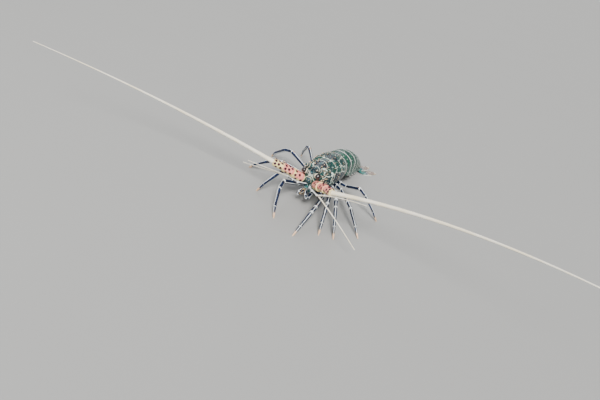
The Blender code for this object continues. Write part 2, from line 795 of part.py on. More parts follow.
# Abdomen and tail fan


def abdomen_joints():
    """Centres at the ends of the six rings, and the direction of each."""
    point = np.array([0.0, ABDOMEN_START[0], ABDOMEN_START[1]])
    points = [point]
    directions = []
    for length, slope in zip(SOMITE_LENGTHS, SOMITE_SLOPES):
        a = math.radians(slope)
        directions.append(np.array([0.0, math.cos(a), math.sin(a)]))
        point = point + length * directions[-1]
        points.append(point)
    return points, directions


def somite_ring(centre, tangent, half, arch, belly, pleuron):
    """Section of the abdomen: an arch, a thin side lobe hanging on each side, and the belly."""
    up = unit(np.cross([1, 0, 0], tangent))
    points = [(half * math.cos(a), arch * math.sin(a)) for a in np.radians(np.linspace(0, 180, 13))]
    left = [
        (-half * 1.01, -belly * 0.55),
        (-half * 1.02, -belly - pleuron),
        (-half * 1.02 + 1.5, -belly - pleuron * 0.96),
        (-half + 2.8, -belly * 0.98),
        (-half * 0.5, -belly - 0.6),
    ]
    right = [(-x, z) for x, z in left[::-1]]
    points += left + right
    return np.array([centre + np.array([x, 0, 0]) + up * z for x, z in points])


def build_somite(index):
    """One ring of the abdomen with its side lobes, which point down and back."""
    points, directions = abdomen_joints()
    a, d = points[index], directions[index]
    length = SOMITE_LENGTHS[index]
    before = directions[index - 1] if index else np.array([0, 1.0, 0])
    after = directions[index + 1] if index < 5 else d
    start = unit(before + d)
    end = unit(d + after)
    rings = []
    plan = ((0.0, 0.945, 0.12), (0.16, 0.955, 0.3), (0.3, 1.0, 0.55), (0.62, 1.0, 0.85), (0.84, 1.0, 1.0))
    plan += ((1.0, 0.985, 0.35),)
    for share, size, drop in plan:
        half = (SOMITE_HALVES[index] * (1 - share) + SOMITE_HALVES[index + 1] * share) * size
        arch = (SOMITE_ARCHES[index] * (1 - share) + SOMITE_ARCHES[index + 1] * share) * size
        belly = SOMITE_BELLIES[index] * (1 - share) + SOMITE_BELLIES[index + 1] * share
        centre = a + d * length * share
        ring = somite_ring(centre, d, half, arch, belly, PLEURA[index] * drop)
        if share == 0.0:
            ring = onto_plane(ring, d, a + start * GAP / 2, start)
        if share == 1.0:
            ring = onto_plane(ring, d, points[index + 1] - end * GAP / 2, end)
        rings.append(ring)
    somite = skin("abdomen_%d" % (index + 1), rings)
    if index == 0:
        trim(somite, carapace_shell("cutter", GAP))
    if 1 <= index <= 4:
        fuse(somite, [swimmeret(index, sign) for sign in (1, -1)])
    return somite


def swimmeret(index, sign):
    """Thin leaf-shaped limb under one ring of the abdomen, folded back along the belly."""
    points, directions = abdomen_joints()
    d = directions[index]
    up = unit(np.cross([1, 0, 0], d))
    lie = unit(d - up * 0.62)
    root = points[index] + d * SOMITE_LENGTHS[index] * 0.3
    root = root - up * (SOMITE_BELLIES[index] - 1.0) + np.array([sign * SOMITE_HALVES[index] * 0.45, 0, 0])
    length = 0.75 * SOMITE_LENGTHS[index]
    rings = []
    for share, half in ((0.0, 1.4), (0.3, 2.8), (0.6, 3.4), (0.85, 2.4), (1.0, 1.0)):
        rings.append(oval(root + lie * length * share, lie, (1, 0, 0), half, 0.5, 6))
    return skin("swimmeret", rings)


def fan_blade(name, blade, sign=1, grow=0.0):
    """Flat blade of the tail fan that comes down towards the floor, with raised rays on top.

    With grow it is that much larger all round, for cutting the next blade clear of it."""
    points, directions = abdomen_joints()
    root = np.array([sign * blade["x"], points[-1][1] + FAN_START, 0.0])
    a = math.radians(sign * blade["turn"])
    length = blade["length"] + grow
    along = np.array([math.sin(a), math.cos(a), 0.0])
    across = np.array([math.cos(a), -math.sin(a), 0.0])
    columns = 9
    shares = np.linspace(0, 1, 9)
    widths = blade["halves"]
    half = eased(shares, np.linspace(0, 1, len(widths)), widths) + grow
    slope = np.clip(1 - shares / blade["level_at"], 0, 1)
    fall = blade["rest"] + (blade["drop"] - blade["rest"]) * slope**1.3 - grow
    depth = BLADE_RIM + (blade["thick"] - BLADE_RIM) * slope**1.3 + 2 * grow
    rings = []
    for k, share in enumerate(shares):
        spread = np.linspace(-1, 1, columns)
        bow = 1 - 0.22 * spread**2 * share
        base = root[None, :] + np.outer(length * share * bow, along)
        base = base + np.outer(spread * half[k], across)
        crown = np.sqrt(np.clip(1 - 0.55 * spread**2, 0, 1))
        ridge = 0.25 * (np.arange(columns) % 2) * min(share * 3, 1.0)
        top = base + np.outer(fall[k] + depth[k] * crown + ridge, (0, 0, 1))
        under = base + np.outer(np.full(columns, fall[k]), (0, 0, 1))
        rings.append(np.vstack([top, under[::-1]]))
    return skin(name, rings, split=True)


def build_tail_fan():
    """The telson in the middle and two blades on each side of it, each cut clear of the last."""
    points, directions = abdomen_joints()
    end = points[-1] + directions[-1] * GAP / 2
    nodes = [fan_blade("telson", FAN["telson"])]
    for side, sign in (("left", 1), ("right", -1)):
        inner = fan_blade("uropod_%s_inner" % side, FAN["inner"], sign)
        trim(inner, fan_blade("cutter", FAN["telson"], sign, GAP))
        outer = fan_blade("uropod_%s_outer" % side, FAN["outer"], sign)
        trim(outer, fan_blade("cutter", FAN["inner"], sign, GAP))
        nodes += [inner, outer]
    return [cut_plane(node, end, directions[-1]) for node in nodes]


# Assembly


def finish(obj, slot, materials):
    """Give the object its colour and a smooth surface with crisp edges."""
    obj.data.materials.clear()
    obj.data.materials.append(materials[slot])
    obj.data.shade_smooth()
    obj.data.set_sharp_from_angle(angle=math.radians(35))


def make_materials():
    """One plain material for each kind of surface."""
    materials = {}
    for slot, (colour, roughness) in SLOTS.items():
        material = bpy.data.materials.new(slot)
        material.use_nodes = True
        shader = material.node_tree.nodes["Principled BSDF"]
        shader.inputs["Base Color"].default_value = (*colour, 1.0)
        shader.inputs["Roughness"].default_value = roughness
        material.diffuse_color = (*colour, 1.0)
        materials[slot] = material
    return materials


def centre_origin(objects):
    """Move every mesh so that the origin is under the middle of them all."""
    corners = []
    for obj in objects:
        points = np.array([v.co for v in obj.data.vertices])
        corners += [points.min(axis=0), points.max(axis=0)]
    low = np.min(corners, axis=0)
    high = np.max(corners, axis=0)
    shift = Vector((-(low[0] + high[0]) / 2, -(low[1] + high[1]) / 2, 0.0))
    for obj in objects:
        for vertex in obj.data.vertices:
            vertex.co += shift
        obj.data.update()


def build_all():
    """Every node of the animal with the slot of its finish."""
    rng = random.Random(SEED)
    made = [(build_carapace(rng), "shell"), (build_sternum(), "shell"), (build_mouth(), "shell")]
    made.append((build_antennular_plate(rng), "shell"))
    for side in ("left", "right"):
        made.append((build_horn(side), "shell"))
        made.append((build_eye(side), "eye"))
        made += [(obj, "pink") for obj in build_antenna(side, rng)]
        made += [(obj, "ivory") for obj in build_flagellum(side)]
        made += [(obj, "ivory") for obj in build_antennule(side)]
        made.append((build_maxilliped(side), "leg"))
        for index in range(5):
            made += [(obj, "leg") for obj in build_leg(side, index)]
    made += [(build_somite(index), "shell") for index in range(6)]
    made += [(obj, "tail") for obj in build_tail_fan()]
    return made


def main():
    """Clear the scene, build the nodes and set the origin."""
    for obj in list(bpy.data.objects):
        bpy.data.objects.remove(obj)
    materials = make_materials()
    made = build_all()
    for obj, slot in made:
        finish(obj, slot, materials)
    centre_origin([obj for obj, slot in made])


main()
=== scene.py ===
"""Looks of a life-size spiny lobster that stands with its antennae spread wide.

Sizes are in millimetres in the animal's own frame: the head looks along -Y, the left
side is +X, the floor is z = 0 and the origin lies under the middle of the carapace.
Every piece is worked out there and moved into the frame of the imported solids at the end.
"""

import logging
import random
from dataclasses import dataclass, field
from enum import Enum

import bpy
import numpy as np
from mathutils import Matrix, Vector


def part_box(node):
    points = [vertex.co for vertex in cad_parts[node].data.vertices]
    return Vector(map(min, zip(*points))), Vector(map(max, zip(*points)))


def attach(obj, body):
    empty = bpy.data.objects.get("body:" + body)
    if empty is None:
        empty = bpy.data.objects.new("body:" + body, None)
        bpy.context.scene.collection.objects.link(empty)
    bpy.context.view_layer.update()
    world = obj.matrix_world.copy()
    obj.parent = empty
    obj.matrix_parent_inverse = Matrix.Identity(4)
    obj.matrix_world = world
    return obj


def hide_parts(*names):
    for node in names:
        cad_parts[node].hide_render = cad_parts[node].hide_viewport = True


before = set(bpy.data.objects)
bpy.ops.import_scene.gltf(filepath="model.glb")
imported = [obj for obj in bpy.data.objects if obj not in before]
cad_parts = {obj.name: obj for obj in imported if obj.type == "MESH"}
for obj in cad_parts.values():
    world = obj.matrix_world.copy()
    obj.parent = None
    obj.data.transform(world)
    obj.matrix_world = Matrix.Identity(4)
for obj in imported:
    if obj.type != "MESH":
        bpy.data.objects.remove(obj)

MM = 0.001
SEED = 11
STERNUM_FRONT = -26.0
LEFT_EYE = (11.6, -41.6, 52.0)
LEG_STRIPES = (30.0, 150.0, 270.0)
FORWARD = np.array([0, -1.0, 0])
SIDEWAYS = np.array([1.0, 0, 0])
UPWARD = np.array([0, 0, 1.0])

Array = np.ndarray
Pair = tuple[float, float]
Point = tuple[float, float, float]
Row = tuple[float, ...]
Colour = tuple[float, float, float]
Node = bpy.types.Node
Socket = bpy.types.NodeSocket
Inputs = dict[str | int, object]
LOG = logging.getLogger("lobster")


class Side(Enum):
    """The two sides of the animal, with the sign of X on each."""

    LEFT = 1
    RIGHT = -1

    @property
    def word(self) -> str:
        """The side's name in the names of nodes."""
        return self.name.lower()

    def of(self, both: tuple[object, object]) -> object:
        """This side's value, out of the left one's and the right one's."""
        return both[self is Side.RIGHT]


class Slot(Enum):
    """The record's material slots."""

    SHELL = "shell"
    PINK = "pink"
    IVORY = "ivory"
    LEG = "leg"
    EYE = "eye"
    TAIL = "tail"


# Vectors and curves


def unit(vector: Array) -> Array:
    """Vectors along the last axis, each at length one."""
    vector = np.asarray(vector, float)
    return vector / np.maximum(np.linalg.norm(vector, axis=-1, keepdims=True), 1e-12)


def heading(azimuth: Array, rise: Array) -> Array:
    """Directions turned from straight ahead to the left and raised above level, in degrees."""
    a, r = np.radians(azimuth), np.radians(rise)
    return np.stack([np.sin(a) * np.cos(r), -np.cos(a) * np.cos(r), np.sin(r) + 0 * a], -1)


def mirrored(point: Point, side: Side) -> Array:
    """A point given for the left side, on the side asked for."""
    return np.array([side.value * point[0], point[1], point[2]], float)


def level_across(tangent: Array) -> Array:
    """The level directions square to tangents."""
    return unit(np.cross(UPWARD, np.asarray(tangent, float)))


def spokes(turn: Array, across: Array, up: Array) -> Array:
    """Directions at angles in radians from across towards up."""
    turn = np.asarray(turn, float)[..., None]
    return np.cos(turn) * across + np.sin(turn) * up


def spread(x: Array, y: Array, z: Array) -> Array:
    """Points from three coordinates, spread over one another's axes."""
    return np.stack(np.broadcast_arrays(x, y, z), -1)


def between(ends: tuple[Array, Array], t: Array) -> Array:
    """What lies at a share of the way from the first end to the second."""
    return ends[0] + (ends[1] - ends[0]) * t


def smooth(low: float, high: float, x: Array) -> Array:
    """Zero below low, one above high, and 3t^2 - 2t^3 between them."""
    t = np.clip((np.asarray(x, float) - low) / (high - low), 0, 1)
    return t * t * (3 - 2 * t)


def bump(x: Array, centre: float, width: float) -> Array:
    """Bell curve exp(-((x - centre) / width)^2)."""
    return np.exp(-(((np.asarray(x, float) - centre) / width) ** 2))


def squared(wave: Array, power: float) -> Array:
    """A sine or cosine with its size raised to a power, which squares the circle that it draws."""
    return np.sign(wave) * np.abs(wave) ** power


def around(sides: int) -> Array:
    """Even angles round a ring, in radians."""
    return np.arange(sides) * 2 * np.pi / sides


def cubic(t: Array, ends: tuple[Array, Array], slopes: tuple[Array, Array]) -> Array:
    """Cubic between two values that leaves and meets them at given slopes.

    The formula is y0 (2t^3 - 3t^2 + 1) + m0 (t^3 - 2t^2 + t) + y1 (3t^2 - 2t^3) + m1 (t^3 - t^2).

    Args:
        t: Share of the way, from zero to one.
        ends: The two values.
        slopes: Rise over the whole way at each end.

    Returns:
        The curve's values.
    """
    rise = 3 * t**2 - 2 * t**3
    lean = slopes[0] * (t**3 - 2 * t**2 + t) + slopes[1] * (t**3 - t**2)
    return ends[0] * (1 - rise) + ends[1] * rise + lean


def eased(x: Array, xs: Array, ys: Array) -> Array:
    """Cubic curve through the points, its slope at each being that of its neighbours' line.

    Args:
        x: Where the curve is read.
        xs: Places of the points, rising.
        ys: Their values.

    Returns:
        The curve's values at x.
    """
    xs, ys = np.asarray(xs, float), np.asarray(ys, float)
    slopes = np.gradient(ys, xs)
    x = np.clip(x, xs[0], xs[-1])
    k = np.clip(np.searchsorted(xs, x) - 1, 0, len(xs) - 2)
    step = xs[k + 1] - xs[k]
    return cubic((x - xs[k]) / step, (ys[k], ys[k + 1]), (slopes[k] * step, slopes[k + 1] * step))


def strides(root: Array, steps: Array) -> Array:
    """Points reached from a root by steps taken one after another, the root being the first."""
    return np.vstack([root, root + np.cumsum(steps, axis=0)])


def flow(points: Array, count: int) -> tuple[Array, Array]:
    """Smooth path through a few points, each coordinate eased over the number of the point.

    Args:
        points: The points that the path passes, in order.
        count: How many points the path gets.

    Returns:
        The path's points and its tangents.
    """
    points = np.asarray(points, float)
    u = np.linspace(0, len(points) - 1, count)
    path = np.stack([eased(u, np.arange(len(points)), points[:, axis]) for axis in range(3)], -1)
    return path, unit(np.gradient(path, axis=0))


def swept(root: Array, azimuths: Array, rises: Array, length: float) -> tuple[Array, Array]:
    """Points and tangents of a path in even steps that has the given headings at its points."""
    middles = heading((azimuths[1:] + azimuths[:-1]) / 2, (rises[1:] + rises[:-1]) / 2)
    return strides(root, middles * length / len(middles)), heading(azimuths, rises)


# Surfaces as arrays


@dataclass
class Surface:
    """Mesh as arrays: points, faces of four and three corners, and named values at the points."""

    points: Array
    quads: Array
    tris: Array
    values: dict[str, Array]

    def outward(self) -> "Surface":
        """The same surface, turned where its signed volume says that its faces point inwards.

        Returns:
            The surface itself.
        """
        fans = (self.tris, self.quads[:, :3], self.quads[:, [0, 2, 3]])
        corners = self.points[np.vstack([fan for fan in fans if len(fan)])]
        volume = np.einsum("ij,ij->i", corners[:, 0], np.cross(corners[:, 1], corners[:, 2])).sum()
        if volume < 0:
            self.quads = self.quads[:, ::-1]
            self.tris = self.tris[:, ::-1]
        return self

    def painted(self, **values: float) -> "Surface":
        """The same surface with one value given to all of its points under each name.

        Args:
            **values: The value under each name.

        Returns:
            The surface itself.
        """
        for name, value in values.items():
            self.values[name] = np.full(len(self.points), float(value))
        return self


def lattice(rows: int, columns: int) -> Array:
    """Four-sided faces between neighbouring rows of a grid whose last column meets its first.

    Args:
        rows: Rows of the grid.
        columns: Points in each row.

    Returns:
        Four numbers of points for each face.
    """
    column = np.arange(columns)[None, :]
    after = (column + 1) % columns
    low = np.arange(rows - 1)[:, None] * columns
    high = low + columns
    return np.stack([low + column, low + after, high + after, high + column], -1).reshape(-1, 4)


def sheaf(rings: Array, values: dict[str, Array] | None = None) -> Surface:
    """Closed tubes through rings of points, many at once, each end closed by a fan to its middle.

    Args:
        rings: Points by tube, ring and place in the ring.
        values: Named values by tube, ring and place, any of these axes being one long.

    Returns:
        One surface that holds all the tubes, facing outwards.
    """
    tubes, rows, columns = rings.shape[:3]
    ends = np.stack([rings[:, 0].mean(1), rings[:, -1].mean(1)], 1)
    points = np.concatenate([rings.reshape(tubes, rows * columns, 3), ends], 1)
    count = rows * columns + 2
    near = np.arange(columns)
    far = (near + 1) % columns
    last = (rows - 1) * columns
    low = np.stack([far, near, np.full(columns, count - 2)], -1)
    high = np.stack([last + near, last + far, np.full(columns, count - 1)], -1)
    start = (np.arange(tubes) * count)[:, None, None]
    quads = (lattice(rows, columns)[None] + start).reshape(-1, 4)
    tris = (np.vstack([low, high])[None] + start).reshape(-1, 3)
    kept = {}
    for name, grid in (values or {}).items():
        grid = np.broadcast_to(grid, (tubes, rows, columns))
        tops = np.stack([grid[:, 0].mean(1), grid[:, -1].mean(1)], 1)
        kept[name] = np.concatenate([grid.reshape(tubes, -1), tops], 1).ravel()
    return Surface(points.reshape(-1, 3), quads, tris, kept).outward()


def loft(rings: Array, values: dict[str, Array] | None = None) -> Surface:
    """Closed tube through rings of points; its values are given by ring and place in the ring."""
    return sheaf(rings[None], {name: grid[None] for name, grid in (values or {}).items()})


def joined(surfaces: list[Surface]) -> Surface:
    """Several surfaces as one, a value that one of them lacks being zero there.

    Args:
        surfaces: The surfaces.

    Returns:
        The one surface.
    """
    starts = np.cumsum([0] + [len(s.points) for s in surfaces])
    names = sorted({name for s in surfaces for name in s.values})
    return Surface(
        np.vstack([s.points for s in surfaces]),
        np.vstack([s.quads + start for s, start in zip(surfaces, starts)]),
        np.vstack([s.tris + start for s, start in zip(surfaces, starts)]),
        {n: np.concatenate([s.values.get(n, np.zeros(len(s.points))) for s in surfaces]) for n in names},
    )


def ovals(centres: Array, tangents: Array, across: Array, wide: Array, tall: Array, sides: int) -> Array:
    """Ellipses that stand square to tangents: centre + wide cos a side + tall sin a up.

    Args:
        centres: Middles of the ellipses, over any leading axes.
        tangents: Directions that the ellipses stand square to.
        across: Direction near that of the half width.
        wide: Half widths.
        tall: Half heights.
        sides: Points on each ellipse.

    Returns:
        The points, with one more axis for the place in the ring.
    """
    tangents = unit(tangents)
    up = unit(np.cross(tangents, across))
    side = np.cross(up, tangents)
    a = around(sides)[:, None]
    wide = np.asarray(wide, float)[..., None, None] * np.cos(a)
    tall = np.asarray(tall, float)[..., None, None] * np.sin(a)
    return centres[..., None, :] + wide * side[..., None, :] + tall * up[..., None, :]


def onto_plane(rings: Array, direction: Array, point: Array, normal: Array, weight: Array) -> Array:
    """Rings slid along a direction towards a plane, each by its weight's share of the way."""
    reach = (np.asarray(point) - rings) @ unit(normal) / (unit(direction) @ unit(normal))
    return rings + (reach * weight[:, None])[..., None] * unit(direction)


@dataclass
class Thorns:
    """Curved spines, each a cone with a flared foot whose tip bends towards a second direction."""

    steps: int = 8
    sides: int = 8
    sunk: float = 0.16
    flare: float = 0.5
    flare_fall: float = 9.0
    taper: float = 0.85
    thinnest: float = 0.035
    lean: Point = (0.31, 0.17, 0.93)

    def grow(self, roots: Array, ways: Array, lengths: Array, radii: Array, hooks: Array) -> Surface:
        """All the spines at once.

        The middle line is root + L (u way (1 - u/2) + hook u^2 / 2) and the radius is
        r ((1 - u)^taper + flare e^(-fall u)), u running from just under the root to the tip.

        Args:
            roots: Points that the spines stand on.
            ways: Directions in which they leave the surface.
            lengths: Their lengths.
            radii: Their radii at the root.
            hooks: Directions that their tips bend to.

        Returns:
            The surface, with the value tip running from zero at the root to one at the tip.
        """
        roots = np.atleast_2d(roots)
        ways = unit(np.atleast_2d(ways))
        hooks = unit(np.broadcast_to(hooks, roots.shape))
        lengths = np.broadcast_to(np.asarray(lengths, float), len(roots))[:, None, None]
        radii = np.broadcast_to(np.asarray(radii, float), len(roots))[:, None]
        u = np.linspace(-self.sunk, 1, self.steps)[None, :, None]
        above = np.clip(u, 0, 1)
        bend = above**2 / 2
        middles = roots[:, None] + lengths * (ways[:, None] * (u - bend) + hooks[:, None] * bend)
        tangents = unit(ways[:, None] * (1 - above) + hooks[:, None] * above)
        profile = (1 - above) ** self.taper + self.flare * np.exp(-self.flare_fall * above)
        widths = np.maximum(radii * profile[..., 0], self.thinnest)
        lean = unit(np.cross(ways, self.lean))[:, None]
        return sheaf(ovals(middles, tangents, lean, widths, widths, self.sides), {"tip": above})


SPINES = Thorns()
SPINULES = Thorns(steps=4, sides=5, flare=0.3)
HAIRS = Thorns(steps=3, sides=3, flare=0.0, taper=0.7)


def origin() -> Array:
    """Place of the animal's own origin in the frame of the solids, in metres."""
    low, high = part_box("sternum")
    return np.array([(low.x + high.x) / 2, low.y - STERNUM_FRONT * MM, 0.0])


def make_piece(
    name: str, surface: Surface, finish: "Finish", nodes: tuple[str, ...] = (), crease: float = 42.0
) -> None:
    """Put a surface into the scene as a piece of the animal, its place being in its mesh.

    Args:
        name: Name of the piece.
        surface: Its mesh in millimetres in the animal's frame.
        finish: What it is dressed with.
        nodes: The solids that it stands for.
        crease: Angle in degrees above which an edge stays sharp.
    """
    mesh = bpy.data.meshes.new(name)
    mesh.vertices.add(len(surface.points))
    mesh.vertices.foreach_set("co", (surface.points * MM + origin()).astype(np.float32).ravel())
    corners = np.concatenate([surface.quads.ravel(), surface.tris.ravel()]).astype(np.int32)
    sizes = np.repeat([4, 3], [len(surface.quads), len(surface.tris)])
    mesh.loops.add(len(corners))
    mesh.loops.foreach_set("vertex_index", corners)
    mesh.polygons.add(len(sizes))
    mesh.polygons.foreach_set("loop_start", (np.cumsum(sizes) - sizes).astype(np.int32))
    for key, value in surface.values.items():
        attribute = mesh.attributes.new(key, "FLOAT", "POINT")
        attribute.data.foreach_set("value", value.astype(np.float32))
    mesh.update(calc_edges=True)
    mesh.validate()
    mesh.shade_smooth()
    mesh.set_sharp_from_angle(angle=np.radians(crease))
    mesh.materials.append(finish.material())
    piece = bpy.data.objects.new(name, mesh)
    bpy.context.scene.collection.objects.link(piece)
    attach(piece, "root")
    if nodes:
        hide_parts(*nodes)
    LOG.info("%s: %d faces", name, len(sizes))


# Shader nodes


@dataclass
class Tree:
    """Short calls for laying out one node tree; a socket or a plain value may go in anywhere."""

    tree: bpy.types.NodeTree

    def feed(self, socket: Socket, value: object) -> None:
        """Link a socket to an input, or set the input where the value is plain.

        Args:
            socket: The input.
            value: Another node's output, or a number, a vector or a colour of three numbers.
        """
        if isinstance(value, Socket):
            self.tree.links.new(value, socket)
        else:
            socket.default_value = (*value, 1.0) if socket.type == "RGBA" else value

    def add(self, kind: str, inputs: Inputs | None = None, **settings: object) -> Node:
        """A node with some of its properties set and some of its inputs fed.

        Args:
            kind: Type of the node.
            inputs: What goes in, under the input's name or number.
            **settings: The properties.

        Returns:
            The node.
        """
        node = self.tree.nodes.new(kind)
        for key, value in settings.items():
            setattr(node, key, value)
        for key, value in (inputs or {}).items():
            self.feed(node.inputs[key], value)
        return node

    def group(self, effect: str, inputs: Inputs, **settings: object) -> Node:
        """A shared effect with its own values."""
        return self.add("ShaderNodeGroup", inputs, node_tree=EFFECTS[effect], **settings)

    def dress(self, looks: Inputs) -> None:
        """Feed inputs of the tree's Principled shader, by name."""
        for key, value in looks.items():
            self.feed(self.tree.nodes["Principled BSDF"].inputs[key], value)

    def value(self, name: str) -> Socket:
        """The mesh's own value of that name."""
        return self.add("ShaderNodeAttribute", attribute_name=name).outputs["Fac"]

    def place(self) -> Socket:
        """Object coordinates, in metres, from one node for the whole tree."""
        node = self.tree.nodes.get("place") or self.add("ShaderNodeTexCoord", name="place")
        return node.outputs["Object"]

    def math(self, operation: str, a: object, b: object = 0.0) -> Socket:
        """Result of one sum on two numbers."""
        return self.add("ShaderNodeMath", {0: a, 1: b}, operation=operation).outputs[0]

    def step(self, value: object, low: object, high: object) -> Socket:
        """Smooth step of the value from low to high; a low above high runs the other way."""
        inputs = {"Value": value, "From Min": low, "From Max": high}
        return self.add("ShaderNodeMapRange", inputs, interpolation_type="SMOOTHSTEP").outputs["Result"]

    def noise(self, vector: object, scale: object, detail: float = 3.0) -> Socket:
        """Noise about one half, its grain one metre over the scale."""
        inputs = {"Vector": vector, "Scale": scale, "Detail": detail}
        return self.add("ShaderNodeTexNoise", inputs).outputs["Fac"]

    def waver(self, vector: object, scale: float, size: float) -> Socket:
        """Noise about zero, at a size."""
        return self.math("MULTIPLY", self.math("SUBTRACT", self.noise(vector, scale), 0.5), size)

    def folded(self, middle: float) -> Socket:
        """Object coordinates with one side of the animal laid over the other, not quite exactly.

        X becomes its distance from the middle, plus a little noise that differs from side to side.

        Args:
            middle: X of the animal's middle plane.

        Returns:
            The coordinates.
        """
        x, y, z = self.add("ShaderNodeSeparateXYZ", {"Vector": self.place()}).outputs
        away = self.math("ABSOLUTE", self.math("SUBTRACT", x, middle))
        uneven = self.math("MULTIPLY", self.noise(self.place(), 55.0), 0.007)
        inputs = {"X": self.math("ADD", away, uneven), "Y": y, "Z": z}
        return self.add("ShaderNodeCombineXYZ", inputs).outputs["Vector"]

    def net(self) -> Node:
        """The line network over the carapace, from one node for the whole tree.

        Returns:
            The node.
        """
        made = self.tree.nodes.get("net")
        if not made:
            inputs = {"Vector": self.folded(origin()[0]), "Scale": 64.0, "Width": 0.036}
            made = self.group("network", inputs, name="net")
        return made

    def over(self, ground: object, *layers: tuple[Socket, object]) -> Socket:
        """Colours laid over a ground one after another, each through its own mask.

        Args:
            ground: The lowest colour.
            *layers: Mask and colour of each layer.

        Returns:
            The colour on top.
        """
        for mask, colour in layers:
            inputs = {"Factor": mask, 6: ground, 7: colour}
            ground = self.add("ShaderNodeMix", inputs, data_type="RGBA").outputs[2]
        return ground


def effect(name: str, inputs: dict[str, str], outputs: tuple[str, ...]) -> tuple[Tree, object, object]:
    """Start an effect that several materials share.

    Args:
        name: The group's name.
        inputs: Kind of socket, Float or Vector, under the name of each input.
        outputs: Names of the outputs, which are all numbers.

    Returns:
        The tree, the sockets that bring the inputs and the sockets that take the outputs.
    """
    tree = bpy.data.node_groups.new(name, "ShaderNodeTree")
    for key, kind in inputs.items():
        tree.interface.new_socket(key, in_out="INPUT", socket_type="NodeSocket" + kind)
    for key in outputs:
        tree.interface.new_socket(key, in_out="OUTPUT", socket_type="NodeSocketFloat")
    made = Tree(tree)
    return made, made.add("NodeGroupInput").outputs, made.add("NodeGroupOutput").inputs


def network_effect() -> bpy.types.NodeTree:
    """Pale irregular lines that part dark patches: the borders of warped cells, worn through in places.

    Lines is the mask of the lines, Patch a number that differs from patch to patch.

    Returns:
        The group.
    """
    t, given, out = effect(
        "Line Network", {"Vector": "Vector", "Scale": "Float", "Width": "Float"}, ("Lines", "Patch")
    )
    place = given["Vector"]
    warp = t.add("ShaderNodeTexNoise", {"Vector": place, "Scale": 140.0}).outputs["Color"]
    terms = {0: warp, 1: (0.006, 0.006, 0.006), 2: place}
    shifted = t.add("ShaderNodeVectorMath", terms, operation="MULTIPLY_ADD").outputs[0]
    cells = {"Vector": shifted, "Scale": given["Scale"]}
    edge = t.add("ShaderNodeTexVoronoi", cells, feature="DISTANCE_TO_EDGE").outputs["Distance"]
    wear = t.step(t.noise(place, 90.0, 2.0), 0.38, 0.5)
    width = t.math("MULTIPLY", given["Width"], wear)
    line = t.step(edge, width, t.math("MULTIPLY", width, 0.6))
    t.feed(out["Lines"], t.math("MULTIPLY", line, wear))
    t.feed(out["Patch"], t.add("ShaderNodeTexVoronoi", cells, feature="F1").outputs["Color"])
    return t.tree


def grain_effect() -> bpy.types.NodeTree:
    """Fine pits and low granules of a shell, as a height between zero and one, and a fleck mask.

    Returns:
        The group.
    """
    t, given, out = effect("Shell Grain", {"Vector": "Vector", "Scale": "Float"}, ("Height", "Fleck"))
    place = {"Vector": given["Vector"], "Scale": given["Scale"]}
    pits = t.add("ShaderNodeTexVoronoi", place, feature="SMOOTH_F1").outputs["Distance"]
    fine = t.math("MULTIPLY", t.noise(given["Vector"], given["Scale"], 4.0), 0.4)
    t.feed(out["Height"], t.math("ADD", t.math("MULTIPLY", t.step(pits, 0.1, 0.55), 0.6), fine))
    t.feed(out["Fleck"], t.step(pits, 0.26, 0.14))
    return t.tree


def band_effect() -> bpy.types.NodeTree:
    """Mask of a band round a centre of some value, its edges wavering a little.

    Returns:
        The group.
    """
    numbers = ("Value", "Centre", "Half Width", "Waver")
    inputs = {"Vector": "Vector", **dict.fromkeys(numbers, "Float")}
    t, given, out = effect("Wavering Band", inputs, ("Mask",))
    value, centre, half, waver = (given[key] for key in numbers)
    shift = t.math("MULTIPLY", t.waver(given["Vector"], 260.0, 2.0), waver)
    away = t.math("ABSOLUTE", t.math("SUBTRACT", t.math("ADD", value, shift), centre))
    t.feed(out["Mask"], t.step(away, half, t.math("MULTIPLY", half, 0.7)))
    return t.tree


EFFECTS = {"network": network_effect(), "grain": grain_effect(), "band": band_effect()}


# Masks


@dataclass(frozen=True)
class Mask:
    """Where a layer of colour shows, at a share of its full strength."""

    share: float = field(default=1.0, kw_only=True)

    def read(self, t: Tree) -> Socket:
        """Nodes of the mask at full strength, which each kind lays out in its own way."""
        raise NotImplementedError

    def lay(self, t: Tree) -> Socket:
        """Nodes of the mask."""
        return self.read(t) if self.share == 1.0 else t.math("MULTIPLY", self.read(t), self.share)


@dataclass(frozen=True)
class Cloud(Mask):
    """Soft clouds: noise of some scale, stepped from low to high."""

    scale: float
    low: float
    high: float

    def read(self, t: Tree) -> Socket:
        """The stepped noise."""
        return t.step(t.noise(t.place(), self.scale), self.low, self.high)


@dataclass(frozen=True)
class Flecks(Mask):
    """Flecks of the shell grain, at some scale."""

    scale: float

    def read(self, t: Tree) -> Socket:
        """The flecks from the shared effect."""
        return t.group("grain", {"Vector": t.place(), "Scale": self.scale}).outputs["Fleck"]


@dataclass(frozen=True)
class Lines(Mask):
    """Lines of the network."""

    def read(self, t: Tree) -> Socket:
        """The lines from the shared effect."""
        return t.net().outputs["Lines"]


@dataclass(frozen=True)
class Patches(Mask):
    """Patches of the network, stepped from low to high."""

    low: float
    high: float

    def read(self, t: Tree) -> Socket:
        """The stepped patches."""
        return t.step(t.net().outputs["Patch"], self.low, self.high)


@dataclass(frozen=True)
class Band(Mask):
    """Band about a centre of the value along, with its half width and the waver of its edges."""

    centre: float
    half: float
    waver: float

    def read(self, t: Tree) -> Socket:
        """The band from the shared effect."""
        inputs = {"Value": t.value("along"), "Centre": self.centre, "Half Width": self.half}
        return t.group("band", {"Vector": t.place(), "Waver": self.waver, **inputs}).outputs["Mask"]


@dataclass(frozen=True)
class Value(Mask):
    """A mesh value as it is."""

    name: str

    def read(self, t: Tree) -> Socket:
        """The value."""
        return t.value(self.name)


